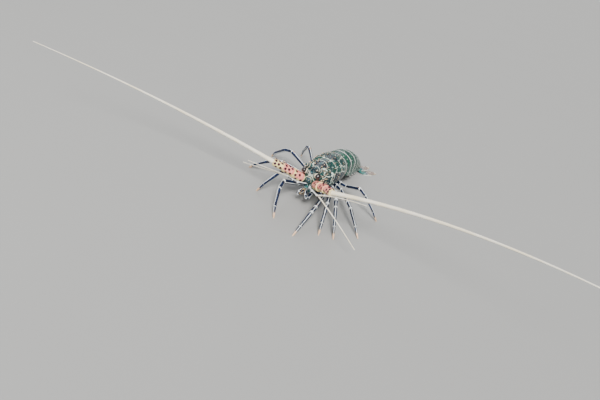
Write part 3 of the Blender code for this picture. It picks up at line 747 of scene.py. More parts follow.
@dataclass(frozen=True)
class Step(Mask):
    """The largest of some mesh values, stepped from low to high.

    Waver is the scale and the size of the noise that makes it uneven.
    """

    names: str
    low: float
    high: float
    waver: Pair | None = None

    def read(self, t: Tree) -> Socket:
        """The stepped value.

        Args:
            t: The material's tree.

        Returns:
            The mask.
        """
        first, *others = self.names.split()
        value = t.value(first)
        for name in others:
            value = t.math("MAXIMUM", value, t.value(name))
        if self.waver:
            value = t.math("ADD", value, t.waver(t.place(), *self.waver))
        return t.step(value, self.low, self.high)


@dataclass(frozen=True)
class Both(Mask):
    """Where two masks meet."""

    first: Mask
    second: Mask

    def read(self, t: Tree) -> Socket:
        """The product of the two."""
        return t.math("MULTIPLY", self.first.lay(t), self.second.lay(t))


# Finishes


@dataclass(frozen=True)
class Finish:
    """Surface of one kind of piece: colours laid over a ground through masks, on a grained shell."""

    name: str
    slot: Slot
    ground: Colour
    layers: tuple[tuple[Mask, Colour], ...]
    roughness: float = 0.34
    coat: float = 0.25
    grain_scale: float = 900.0
    relief: float = 0.00012
    gloss: float = 0.5
    coat_roughness: float = 0.18
    unevenness: float = 0.22
    relief_share: float = 0.7

    def material(self) -> bpy.types.Material:
        """The finish as a material, made once.

        Returns:
            The material.
        """
        made = bpy.data.materials.get(self.name)
        if made:
            return made
        made = bpy.data.materials.new(self.name)
        made.use_nodes = True
        t = Tree(made.node_tree)
        grain = t.group("grain", {"Vector": t.place(), "Scale": self.grain_scale}).outputs["Height"]
        uneven = t.math("MULTIPLY", t.math("SUBTRACT", grain, 0.5), self.unevenness)
        relief = {"Strength": self.relief_share, "Distance": self.relief, "Height": grain}
        t.dress(
            {
                "Base Color": t.over(self.ground, *((mask.lay(t), colour) for mask, colour in self.layers)),
                "Roughness": t.math("ADD", uneven, self.roughness),
                "Coat Weight": self.coat,
                "Coat Roughness": self.coat_roughness,
                "Specular IOR Level": self.gloss,
                "Normal": t.add("ShaderNodeBump", relief).outputs["Normal"],
            }
        )
        return made


# The masks read these values of the meshes. Along is the share of a piece's length, tip the share
# towards the end of a spine. Rim rises to one at a free edge, end where an antenna's joint turns
# cream, low underneath it and toe at the tip of a claw. Spot falls from one at a spine's foot.
# Dip shade is one in the dip between two rings of a whip or a branch, where shade is painted into
# the colour, bar in a darker bar and joint at the ends of a hard length. Stripe is the degrees round
# a limb from the nearest stripe's middle, and ray waves from ray to ray of the tail fan.

INK, REEF, NET_LINE = (0.003, 0.007, 0.020), (0.012, 0.14, 0.15), (0.66, 0.76, 0.66)
SHELL = Finish(
    "carapace_shell", Slot.SHELL, roughness=0.32, coat=0.12, gloss=0.4, ground=(0.007, 0.050, 0.042),
    layers=(
        (Patches(0.34, 0.6), INK),
        (Cloud(300.0, 0.56, 0.7, share=0.7), REEF),
        (Flecks(300.0, share=0.32), NET_LINE),
        (Lines(), NET_LINE),
        (Band(0.52, 0.012, 0.004), INK),
        (Band(0.955, 0.030, 0.004), INK),
        (Band(0.955, 0.0095, 0.004), NET_LINE),
        (Step("tip", 0.02, 0.2), INK),
        (Step("tip", 0.36, 0.56), (0.86, 0.62, 0.40)),
    ),
)
RING_BLUE, RING_WHITE = (0.003, 0.008, 0.032), (0.80, 0.84, 0.76)
RING = Finish(
    "abdomen_shell", Slot.SHELL, roughness=0.28, coat=0.18, gloss=0.4, ground=(0.011, 0.082, 0.048),
    layers=(
        (Cloud(160.0, 0.42, 0.62), (0.008, 0.046, 0.040)),
        (Flecks(240.0, share=0.6), RING_WHITE),
        (Band(0.80, 0.15, 0.03), RING_BLUE),
        (Band(0.80, 0.055, 0.03), RING_WHITE),
        (Step("rim", 0.25, 0.4), RING_BLUE),
        (Step("rim", 0.62, 0.72), RING_WHITE),
    ),
)
CREAM = (0.92, 0.76, 0.34)
STALK = Finish(
    "antenna_shell", Slot.PINK, roughness=0.38, coat=0.12, gloss=0.4, ground=(0.84, 0.225, 0.185),
    layers=(
        (Cloud(230.0, 0.38, 0.64), (0.92, 0.42, 0.33)),
        (Flecks(420.0, share=0.35), (0.94, 0.78, 0.68)),
        (Step("end low", 0.5, 0.85, waver=(300.0, 0.6)), CREAM),
        (Step("spot", 0.44, 0.54, waver=(300.0, 0.18)), (0.050, 0.006, 0.020)),
        (Step("tip", 0.82, 0.95), CREAM),
    ),
)
IVORY = Finish(
    "whip_ivory", Slot.IVORY, roughness=0.42, coat=0.1, relief=0.00004, ground=(0.95, 0.91, 0.79),
    layers=(
        (Cloud(45.0, 0.4, 0.65), (0.94, 0.86, 0.66)),
        # Painted shade: the dip between two rings of a whip or a branch is darkened towards brown.
        (Value("hollow", share=0.4), (0.62, 0.50, 0.38)),
        (Value("bar", share=0.3), (0.62, 0.50, 0.46)),
    ),
)
LIMB_WHITE = (0.84, 0.88, 0.88)
LIMB = Finish(
    "leg_shell", Slot.LEG, roughness=0.30, coat=0.12, relief=0.00006, gloss=0.4, ground=(0.004, 0.007, 0.026),
    layers=(
        (Cloud(260.0, 0.42, 0.64), (0.008, 0.024, 0.080)),
        (Step("stripe", 12.5, 9.5, waver=(420.0, 9.0)), LIMB_WHITE),
        (Step("joint", 0.5, 0.8), LIMB_WHITE),
        (Step("toe", 0.25, 0.6, waver=(420.0, 0.2)), (0.86, 0.56, 0.36)),
    ),
)
FAN_WAVER, FAN_PALE = (200.0, 0.08), (0.72, 0.76, 0.66)
FAN = Finish(
    "tail_blade", Slot.TAIL, roughness=0.34, coat=0.25, relief=0.00006, ground=(0.020, 0.135, 0.125),
    layers=(
        (Step("along", 0.38, 0.46, FAN_WAVER), (0.008, 0.022, 0.060)),
        (Step("along", 0.50, 0.62, FAN_WAVER), (0.115, 0.040, 0.024)),
        (Flecks(260.0, share=0.7), FAN_PALE),
        (Both(Step("ray", 0.5, 0.95), Step("along", 0.40, 0.52, FAN_WAVER), share=0.6), FAN_PALE),
        (Step("rim", 0.55, 0.75), FAN_PALE),
    ),
)
HORN_CLOUD = (Cloud(260.0, 0.45, 0.65), (0.02, 0.14, 0.14))
HORN_PALE, MOUTH_PALE = (0.74, 0.66, 0.50), (0.62, 0.66, 0.62)
HORN = Finish(
    "horn_shell", Slot.SHELL, roughness=0.30, coat=0.3, ground=(0.012, 0.045, 0.060),
    layers=(
        HORN_CLOUD,
        (Band(0.30, 0.06, 0.04), HORN_PALE),
        (Band(0.58, 0.06, 0.04), HORN_PALE),
        (Band(0.95, 0.16, 0.04), HORN_PALE),
        (Step("tip", 0.4, 0.6), HORN_PALE),
    ),
)
MOUTH = Finish(
    "mouth_shell", Slot.SHELL, ground=HORN.ground,
    layers=(HORN_CLOUD, (Band(0.5, 0.12, 0.04), MOUTH_PALE), (Step("tip", 0.4, 0.6), MOUTH_PALE)),
)
MOTTLE = Cloud(300.0, 0.4, 0.64)
CORNEA = Finish(
    "eye_cornea", Slot.EYE, roughness=0.06, coat=1.0, relief=0.00001, grain_scale=4000.0,
    ground=(0.006, 0.005, 0.006), layers=((MOTTLE, (0.022, 0.014, 0.016)),),
)
BELLY = Finish(
    "belly_shell", Slot.SHELL, roughness=0.4, coat=0.15,
    ground=(0.20, 0.30, 0.30), layers=((MOTTLE, (0.48, 0.52, 0.46)),),
)
BRISTLE = Finish(
    "bristle", Slot.LEG, roughness=0.5, coat=0.0, relief=0.00001,
    ground=(0.42, 0.27, 0.12), layers=((MOTTLE, (0.62, 0.46, 0.26)),),
)
MEMBRANE = Finish(
    "joint_membrane", Slot.IVORY, roughness=0.5, coat=0.1,
    ground=(0.62, 0.50, 0.42), layers=((MOTTLE, (0.72, 0.62, 0.52)),),
)


# Carapace


@dataclass
class Carapace:
    """Shell of the head and thorax, with its neck groove, orbits and forward spines.

    Its half widths, tops and bottoms are given at stations, which are shares of the length.
    Each row of spines is an angle round the shell, then share of the length and size of each.
    """

    rng: random.Random
    front: float = -38.0
    length: float = 75.0
    stations: Row = (0.0, 0.07, 0.25, 0.45, 0.72, 0.9, 1.0)
    half_widths: Row = (14.5, 17.5, 21.0, 22.8, 23.8, 22.6, 21.0)
    tops: Row = (52.5, 55.0, 58.0, 60.3, 60.0, 57.8, 55.5)
    bottoms: Row = (27.0, 25.0, 23.4, 23.0, 23.0, 23.4, 24.5)
    waist: float = 0.4
    back_roundness: float = 2.25
    flank_roundness: float = 3.4
    groove_depth: float = 1.5
    groove_width: float = 0.022
    groove_top: float = 0.52
    groove_side: float = 0.27
    groove_bend: float = 1.4
    groove_fade: Pair = (-0.55, -0.2)
    front_inset: float = 0.78
    front_bulge: float = 2.2
    rear_bulge: float = 0.9
    rim_height: float = 0.30
    rim_groove: float = 0.45
    flank_swelling: float = 0.35
    back_swelling: float = 0.5
    seam_depth: float = 0.35
    orbit_radius: float = 5.6
    grid: tuple[int, int] = (150, 150)
    spine_rows: tuple = (
        (77, ((0.24, 5.6), (0.33, 5.0), (0.42, 4.4), (0.60, 3.8), (0.71, 3.6), (0.83, 3.4), (0.94, 3.0))),
        (60, ((0.24, 6.0), (0.32, 5.4), (0.41, 4.8), (0.64, 4.2), (0.76, 3.8), (0.88, 3.4))),
        (42, ((0.15, 6.4), (0.25, 5.8), (0.35, 5.0), (0.46, 4.4), (0.61, 4.2), (0.73, 3.8), (0.86, 3.4))),
        (24, ((0.10, 7.0), (0.18, 6.2), (0.27, 5.4), (0.36, 4.8), (0.62, 4.0), (0.78, 3.6))),
        (6, ((0.15, 4.8), (0.24, 4.4), (0.35, 4.0), (0.58, 3.6), (0.72, 3.2))),
    )
    spine_lean: Point = (0, -0.8, 0.05)
    granules: int = 520
    granule_lean: Point = (0, -0.7, 0)

    def warped(self, s: Array, reach: Array) -> Array:
        """Share of the length with the groove's ring bent forward down the flanks.

        Two cubics meet at the groove: the first runs from 0 to reach, the second on to 1.

        Args:
            s: Share of the length before the bend.
            reach: Share that the groove comes to.

        Returns:
            The share after it.
        """
        g = self.groove_top
        near, far = reach / g, (1 - reach) / (1 - g)
        middle = near * (1 - g) + far * g
        first = s < g
        h = np.where(first, g, 1 - g)
        t = np.clip(np.where(first, s, s - g) / h, 0, 1)
        slopes = h * np.where(first, near, middle), h * np.where(first, middle, far)
        return cubic(t, (np.where(first, 0, reach), np.where(first, reach, 1)), slopes)

    def at(self, s: Array, angle: Array, grow: Array | float = 0.0) -> Array:
        """Points of the shell: an oval whose back and flanks have their own roundness.

        Args:
            s: Share of the length, from the front.
            angle: Degrees round the shell, 90 being the middle of the back.
            grow: How far the point stands off the plain shell.

        Returns:
            The points, with the coordinates on the last axis.
        """
        s, angle = np.broadcast_arrays(np.asarray(s, float), np.asarray(angle, float))
        c, z = np.cos(np.radians(angle)), np.sin(np.radians(angle))
        reach = between((self.groove_top, self.groove_side), np.abs(c) ** self.groove_bend)
        along = self.warped(s, reach)
        half = eased(along, self.stations, self.half_widths) + grow
        top = eased(along, self.stations, self.tops) + grow
        bottom = eased(along, self.stations, self.bottoms) - grow
        middle = between((bottom, top), self.waist)
        power = 2 / np.where(z > 0, self.back_roundness, self.flank_roundness)
        rise = np.where(z > 0, top - middle, middle - bottom)
        groove = smooth(*self.groove_fade, z) * bump(s, self.groove_top, self.groove_width)
        shrink = 1 - self.groove_depth / half * groove
        height = middle + rise * shrink * squared(z, power)
        return np.stack([half * shrink * squared(c, power), self.front + self.length * along, height], -1)

    def normal(self, s: Array, angle: Array) -> Array:
        """Outward directions of the shell, square to a small step along it and one round it.

        Args:
            s: Share of the length, from the front.
            angle: Degrees round the shell.

        Returns:
            The unit directions.
        """
        ahead, turned = 0.01, 2.0
        along = self.at(s + ahead, angle) - self.at(s - ahead, angle)
        return unit(np.cross(along, self.at(s, angle + turned) - self.at(s, angle - turned)))

    def cap(self, ring: Array, shares: Row, reach: float, edge: float) -> Array:
        """Rings that draw a ring in towards its middle, bulging forward.

        Args:
            ring: The ring that they close.
            shares: Size of each ring against it.
            reach: How far they bulge.
            edge: Share of the way inwards over which the bulge comes up.

        Returns:
            The rings, in the order of the shares.
        """
        shares = np.array(shares)[:, None]
        rings = ring.mean(0) + (ring - ring.mean(0)) * shares[..., None]
        rings[..., 1] -= reach * smooth(0.0, edge, 1 - shares)
        return rings

    def shell(self) -> Surface:
        """The shell with its rolled rear rim, low swellings, seam down the back and two orbits.

        Returns:
            The surface, with the share of the length as its value.
        """
        rows, columns = self.grid
        s = np.linspace(0, 1, rows)[:, None]
        angle = np.arange(columns) * 360 / columns
        rim = self.rim_height * smooth(0.965, 0.985, s) - self.rim_groove * bump(s, 0.952, 0.012)
        low = self.flank_swelling * bump(np.sin(np.radians(angle)), -0.55, 0.10) * smooth(0.05, 0.2, s)
        high = self.back_swelling * bump(angle, 90, 14) * bump(s, 0.33, 0.13)
        seam = self.seam_depth * bump(angle, 90, 3) * smooth(0.54, 0.62, s) * (1 - smooth(0.9, 0.95, s))
        body = self.at(s, angle, rim + low + high - seam)
        nose_shares = (0.06, 0.3, 0.55, self.front_inset, 0.88, 0.96)
        nose = self.cap(body[0], nose_shares, self.front_bulge, 1 - self.front_inset)
        rear = self.cap(body[-1], (0.985, 0.95, 0.6, 0.1), self.rear_bulge, 0.05)
        rings = np.concatenate([nose, body, rear])
        for side in Side:
            centre = mirrored(LEFT_EYE, side)
            away = rings - centre
            reach = np.linalg.norm(away, axis=-1, keepdims=True)
            rings = np.where(reach < self.orbit_radius, centre + away / reach * self.orbit_radius, rings)
        along = np.concatenate([np.zeros(len(nose)), s[:, 0], np.ones(len(rear))])
        return loft(rings, {"along": along[:, None]})

    def spines(self) -> Surface:
        """The large forward spines in their rows, each a little out of line.

        Returns:
            The surface.
        """
        draw = self.rng.uniform
        places = [
            (s + draw(-0.008, 0.008), turn + draw(-2.5, 2.5), size, draw(0.9, 1.12))
            for angle, row in self.spine_rows
            for s, size in row
            for turn in (angle, 180 - angle)
        ]
        s, turn, size, vary = np.array(places).T
        ways = self.normal(s, turn) * 0.85 + self.spine_lean
        return SPINES.grow(self.at(s, turn), ways, size * vary, size * 0.2 + 0.25, (0, -1.0, 0.1))

    def granulation(self) -> Surface:
        """Small forward spinules between the rows, larger towards the head.

        Returns:
            The surface.
        """
        rng = np.random.default_rng(SEED)
        s = rng.uniform(0.05, 0.94, self.granules)
        turn = rng.uniform(-14, 194, self.granules)
        clear = np.abs(s - self.groove_top) > 0.03
        s, turn = s[clear], turn[clear]
        size = (1.5 - 0.8 * s) * rng.uniform(0.6, 1.3, len(s))
        ways = self.normal(s, turn) + self.granule_lean
        return SPINULES.grow(self.at(s, turn), ways, size, 0.2 + 0.2 * size, (0, -1.0, 0.2))

    def build(self) -> None:
        """The shell with all its spines, as one piece."""
        surface = joined([self.shell(), self.spines(), self.granulation()])
        make_piece("carapace_shell", surface, SHELL, ("carapace",))


@dataclass
class Sternum:
    """Wedge-shaped plate under the thorax, grooved between the roots of the legs.

    A pinch is how far it cuts in from below, its width along the body, and the share of the
    plate's width that it takes. The furrow along the middle has a depth and a width.
    """

    ends: Pair = (STERNUM_FRONT, 35.0)
    halves: Pair = (5.5, 13.0)
    heights: Pair = (13.5, 23.2)
    roots: Row = (-19.0, -8.0, 3.5, 15.0, 26.5)
    squareness: float = 0.35
    pinch: Point = (0.7, 0.9, 0.03)
    furrow: Pair = (0.8, 1.2)

    def half(self, y: Array) -> Array:
        """Half width at a place along the body."""
        return between(self.halves, (y - self.ends[0]) / (self.ends[1] - self.ends[0]))

    def wall(self, side: Side) -> Array:
        """Outward direction of the slanting side."""
        return unit([side.value, -np.diff(self.halves)[0] / np.diff(self.ends)[0], 0.0])

    def build(self) -> None:
        """A rounded section carried from front to rear, pinched between the legs."""
        deep, long, narrow = self.pinch
        y = np.linspace(*self.ends, 90)[:, None]
        pinch = sum(bump(y, (a + b) / 2, long) for a, b in zip(self.roots, self.roots[1:]))
        a = around(48)
        x = self.half(y) * squared(np.cos(a), self.squareness) * (1 - narrow * pinch)
        height = between(self.heights, (1 + squared(np.sin(a), self.squareness)) / 2)
        cut = np.where(np.sin(a) < 0, deep * pinch + self.furrow[0] * bump(x, 0, self.furrow[1]), 0)
        make_piece("sternum_plate", loft(spread(x, y, height + cut)), BELLY, ("sternum",))


# Limbs


@dataclass
class Shaft:
    """Straight middle line of one length of a limb, with the directions round it."""

    start: Array
    end: Array
    across: Array

    @property
    def way(self) -> Array:
        """Direction of the line."""
        return unit(self.end - self.start)

    def out(self, turn: Array) -> Array:
        """Directions square to the line, at angles in radians from across."""
        return spokes(turn, self.across, np.cross(self.way, self.across))

    def at(self, share: Array, out: Array, reach: Array) -> Array:
        """Points at shares of the line, each as far out along its direction as its reach."""
        return self.start + np.outer(share, self.end - self.start) + out * np.reshape(reach, (-1, 1))


def from_stripes(sides: int, stripes: Row) -> Array:
    """Degrees from each place in a ring to the middle of the nearest stripe."""
    turn = np.degrees(around(sides))[:, None]
    return np.abs((turn - stripes + 180) % 360 - 180).min(1)


def hard_length(shaft: Shaft, near: float, far: float, claw: bool = False, stands: bool = False) -> Surface:
    """One hard length of a limb: a tube with a narrow root and a flared, rolled end.

    Its rings lie closer together towards both ends, at (1 - cos(pi v)) / 2 for even v.

    Args:
        shaft: Its middle line, and the direction square to the limb's plane.
        near: Its radius near the start.
        far: Its radius near the end.
        claw: Whether it is the last length, which tapers to a claw.
        stands: Whether its end is cut off level at the floor.

    Returns:
        The surface with its values.
    """
    rows, sides, flatness = 34, 24, (0.92, 1.08)
    if claw:
        stops, sizes = (0, 0.06, 0.14, 0.4, 0.75, 0.93, 1), (0.66, 0.92, 1.0, 0.86, 0.6, 0.42, 0.3)
        sizes = near * np.array(sizes)
    else:
        stops, middle = (0, 0.05, 0.13, 0.5, 0.86, 0.93, 0.975, 1), (near + far) * 0.49
        sizes = (near * 0.62, near * 0.86, near, middle, far, far * 1.06, far * 1.02, far * 0.72)
    u = (1 - np.cos(np.pi * np.linspace(0, 1, rows))) / 2
    radius = eased(u, stops, sizes)
    path = shaft.at(u, np.zeros(3), 0)
    wide, tall = (radius * share for share in flatness)
    rings = ovals(path, shaft.way, shaft.across, wide, tall, sides)
    if stands:
        rings[-1] = onto_plane(rings[-1:], shaft.way, np.zeros(3), UPWARD, np.ones(1))[0]
        rings[..., 2] = np.maximum(rings[..., 2], 0.0)
    joint = np.maximum(1 - smooth(0.0, 0.04, u), smooth(0.965, 0.99, u)) * (not claw)
    toe = smooth(0.2, 1.0, u) * claw
    stripe = from_stripes(sides, LEG_STRIPES)
    return loft(rings, {"stripe": stripe[None], "joint": joint[:, None], "toe": toe[:, None]})


# Head


@dataclass
class Horn:
    """One of the two flattened horns that arch forward over the eyes."""

    side: Side
    root: Point = (9.3, -29.0, 53.0)
    length: float = 25.0
    radius: float = 4.4
    tip: float = 0.14
    taper: float = 0.85
    flatness: Pair = (0.60, 0.98)
    rises: Pair = (40.0, 14.0)
    turn: float = 4.0
    keel: float = 0.07

    def build(self) -> None:
        """The horn: a flattened cone along a path that levels off, ridged above and below."""
        steps, rows, sides = 7, 46, 20
        rises = between(self.rises, np.arange(steps) / steps)
        ways = heading(self.turn * self.side.value, rises)
        path, tangents = flow(strides(mirrored(self.root, self.side), ways * self.length / steps), rows)
        u = np.linspace(0, 1, rows)
        radius = self.radius * (1 - u) ** self.taper + self.tip
        wide, tall = (radius * share for share in self.flatness)
        rings = ovals(path, tangents, level_across(tangents), wide, tall, sides)
        keel = 1 + self.keel * np.abs(np.sin(around(sides))) ** 6
        rings = path[:, None] + (rings - path[:, None]) * keel[:, None]
        name = "horn_" + self.side.word
        make_piece(name, loft(rings, {"along": u[:, None]}), HORN, (name,))


@dataclass
class Eye:
    """A dark rounded eye on its short stalk.

    The stalk's radii are given at stops, which are shares of the way from its root to the
    middle of the eye.
    """

    side: Side
    root: Point = (2.6, -37.0, 49.5)
    radius: float = 4.1
    squash: Point = (0.92, 1.05, 1.0)
    stops: Row = (0.0, 0.2, 0.36, 0.55, 0.66, 0.73, 0.78)
    radii: Row = (2.7, 2.5, 2.7, 3.5, 3.95, 3.9, 3.3)

    def build(self) -> None:
        """The glossy eye as a squashed ball, and the stalk with the collar that holds it."""
        centre, root = mirrored(LEFT_EYE, self.side), mirrored(self.root, self.side)
        out = unit(centre - root)
        across = level_across(out)
        a = np.radians(np.linspace(-52, 89.5, 30))
        long, wide, tall = (self.radius * share for share in self.squash)
        spots = centre + np.outer(long * np.sin(a), out)
        ball = ovals(spots, out, across, wide * np.cos(a), tall * np.cos(a), 36)
        make_piece("cornea_" + self.side.word, loft(ball), CORNEA, ("eye_" + self.side.word,))
        u = np.linspace(0, self.stops[-1], 26)
        radius = eased(u, self.stops, self.radii)
        rings = ovals(root + np.outer(u, centre - root), out, across, radius * 1.03, radius, 28)
        make_piece("eyestalk_" + self.side.word, loft(rings, {"along": u[:, None] / self.stops[-1]}), HORN)


@dataclass
class HeadFront:
    """The plate between the antennae, and the plate and jaws over the mouth.

    The plate between the antennae has its half widths, bottoms and tops at places along Y, the
    one over the mouth its half widths and fronts at heights. A spine is its root and length.
    """

    rng: random.Random
    plate_stops: Row = (-46.5, -45.6, -43.5, -36.0)
    plate_sizes: tuple[Row, ...] = (
        (1.9, 2.8, 3.4, 3.6), (39.4, 38.0, 37.4, 36.5), (42.6, 44.3, 45.6, 46.5),
    )
    mouth_stops: Row = (24.6, 26.0, 27.6, 29.2)
    mouth_sizes: tuple[Row, ...] = ((6.0, 7.6, 8.4, 7.4), (-41.0, -42.0, -42.6, -41.5))
    mouth_back: float = -34.0
    squareness: float = 0.6
    spines: tuple[Row, ...] = ((2.0, -42.0, 45.4, 5.0), (1.7, -46.0, 42.6, 3.8))
    jaw: Point = (3.15, -38.6, 23.2)
    jaw_radii: Point = (4.1, 3.3, 3.9)
    jaw_teeth: float = 0.12
    swelling: float = 0.35

    def plate(self) -> None:
        """Rounded block with two pairs of forward spines between the antennae."""
        first, last = self.plate_stops[0], self.plate_stops[-1]
        y = np.linspace(first, last, 24)[:, None]
        half, low, high = (eased(y, self.plate_stops, sizes) for sizes in self.plate_sizes)
        c, z = (squared(wave(around(32)), self.squareness) for wave in (np.cos, np.sin))
        height = between((low, high), (1 + z) / 2)
        body = loft(spread(half * c, y, height), {"along": (y - first) / (last - first)})
        table = np.array(
            [
                (sign, sign * x, y, z, size * self.rng.uniform(0.95, 1.05))
                for x, y, z, size in self.spines
                for sign in (1, -1)
            ]
        )
        ways = spread(0.10 * table[:, 0], -0.75, 0.66)
        spines = SPINES.grow(table[:, 1:4], ways, table[:, 4], 0.9, FORWARD)
        make_piece("antennular_plate_shell", joined([body, spines]), HORN, ("antennular_plate",))

    def jaws(self) -> list[Surface]:
        """The two toothed jaws, which meet under the mouth.

        Returns:
            Their surfaces.
        """
        rows = sides = 26
        long, wide, tall = self.jaw_radii
        t = np.radians(np.linspace(-88, 88, rows))
        found = []
        for side in Side:
            spots = mirrored(self.jaw, side) + np.outer(long * np.sin(t), FORWARD)
            rings = ovals(spots, FORWARD, SIDEWAYS, wide * np.cos(t), tall * np.cos(t), sides)
            teeth = np.sin(t * 16)[:, None] * bump(np.cos(around(sides)), -side.value, 0.5)
            rings[..., 0] -= self.jaw_teeth * teeth * side.value
            found.append(loft(rings, {"along": np.linspace(0, 0.8, rows)[:, None]}))
        return found

    def mouth(self) -> None:
        """Plate above the mouth, swollen in the middle, with the jaws under it."""
        low, high = self.mouth_stops[0], self.mouth_stops[-1]
        z = np.linspace(low, high, 22)[:, None]
        half, front = (eased(z, self.mouth_stops, sizes) for sizes in self.mouth_sizes)
        a = around(56)
        s = np.sin(a)
        x = half * squared(np.cos(a), self.squareness)
        depth = (front - self.mouth_back) * np.where(s > 0, np.abs(s) ** self.squareness, -0.02)
        depth = depth - self.swelling * bump(x, 0, 1.6) * (s > 0)
        plate = loft(spread(x, self.mouth_back + depth, z), {"along": (z - low) / (high - low)})
        make_piece("mouth_plate", joined([plate, *self.jaws()]), MOUTH, ("mouth",))

    def build(self) -> None:
        """Both plates, and the jaws."""
        self.plate()
        self.mouth()


@dataclass
class Maxilliped:
    """Leg-like mouthpart that folds up in front of the jaws, thick with bristles inside."""

    side: Side
    joints: tuple[Point, ...] = (
        (3.2, -26.3, 18.4), (5.6, -37.0, 16.4), (7.4, -47.0, 16.6), (7.0, -53.5, 20.0),
        (5.2, -54.5, 25.0), (3.4, -51.5, 28.2), (2.6, -48.5, 27.2),
    )
    radii: Row = (2.3, 2.6, 2.5, 2.2, 1.9, 1.5, 0.7)
    bristles: int = 260
    bristled: tuple[int, int] = (24, 86)
    bristle_lengths: Pair = (1.6, 3.2)
    bristle_radius: float = 0.09

    def build(self) -> None:
        """The mouthpart: its hard lengths from joint to joint, and the bristles inside."""
        points = np.array([mirrored(p, self.side) for p in self.joints])
        last, many, rows = len(points) - 1, self.bristles, 90
        tubes = [
            hard_length(
                Shaft(points[k], points[k + 1], SIDEWAYS), self.radii[k], self.radii[k + 1] * 1.05,
                claw=k == last - 1,
            )
            for k in range(last)
        ]
        name = "maxilliped_" + self.side.word
        make_piece(name + "_limb", joined(tubes), LIMB, (name,))
        path, tangents = flow(points, rows)
        radius = eased(np.linspace(0, last, rows), np.arange(last + 1), self.radii)
        rng = np.random.default_rng(SEED + self.side.value)
        k = rng.integers(*self.bristled, many)
        inward = np.array([-self.side.value, 0.25, 0.2])
        ways = unit(inward + rng.normal(0, 0.28, (many, 3)))
        roots = path[k] + ways * (radius[k] * 0.7)[:, None]
        lengths = rng.uniform(*self.bristle_lengths, many)
        hairs = HAIRS.grow(roots, ways, lengths, self.bristle_radius, tangents[k] + inward)
        make_piece(name + "_bristles", hairs, BRISTLE)


# Feelers


def per_ring(pattern: Row, rings: int, end: float) -> Array:
    """A pattern repeated over the rings of a feeler, with one more number for its end."""
    return np.append(np.tile(pattern, rings), end)


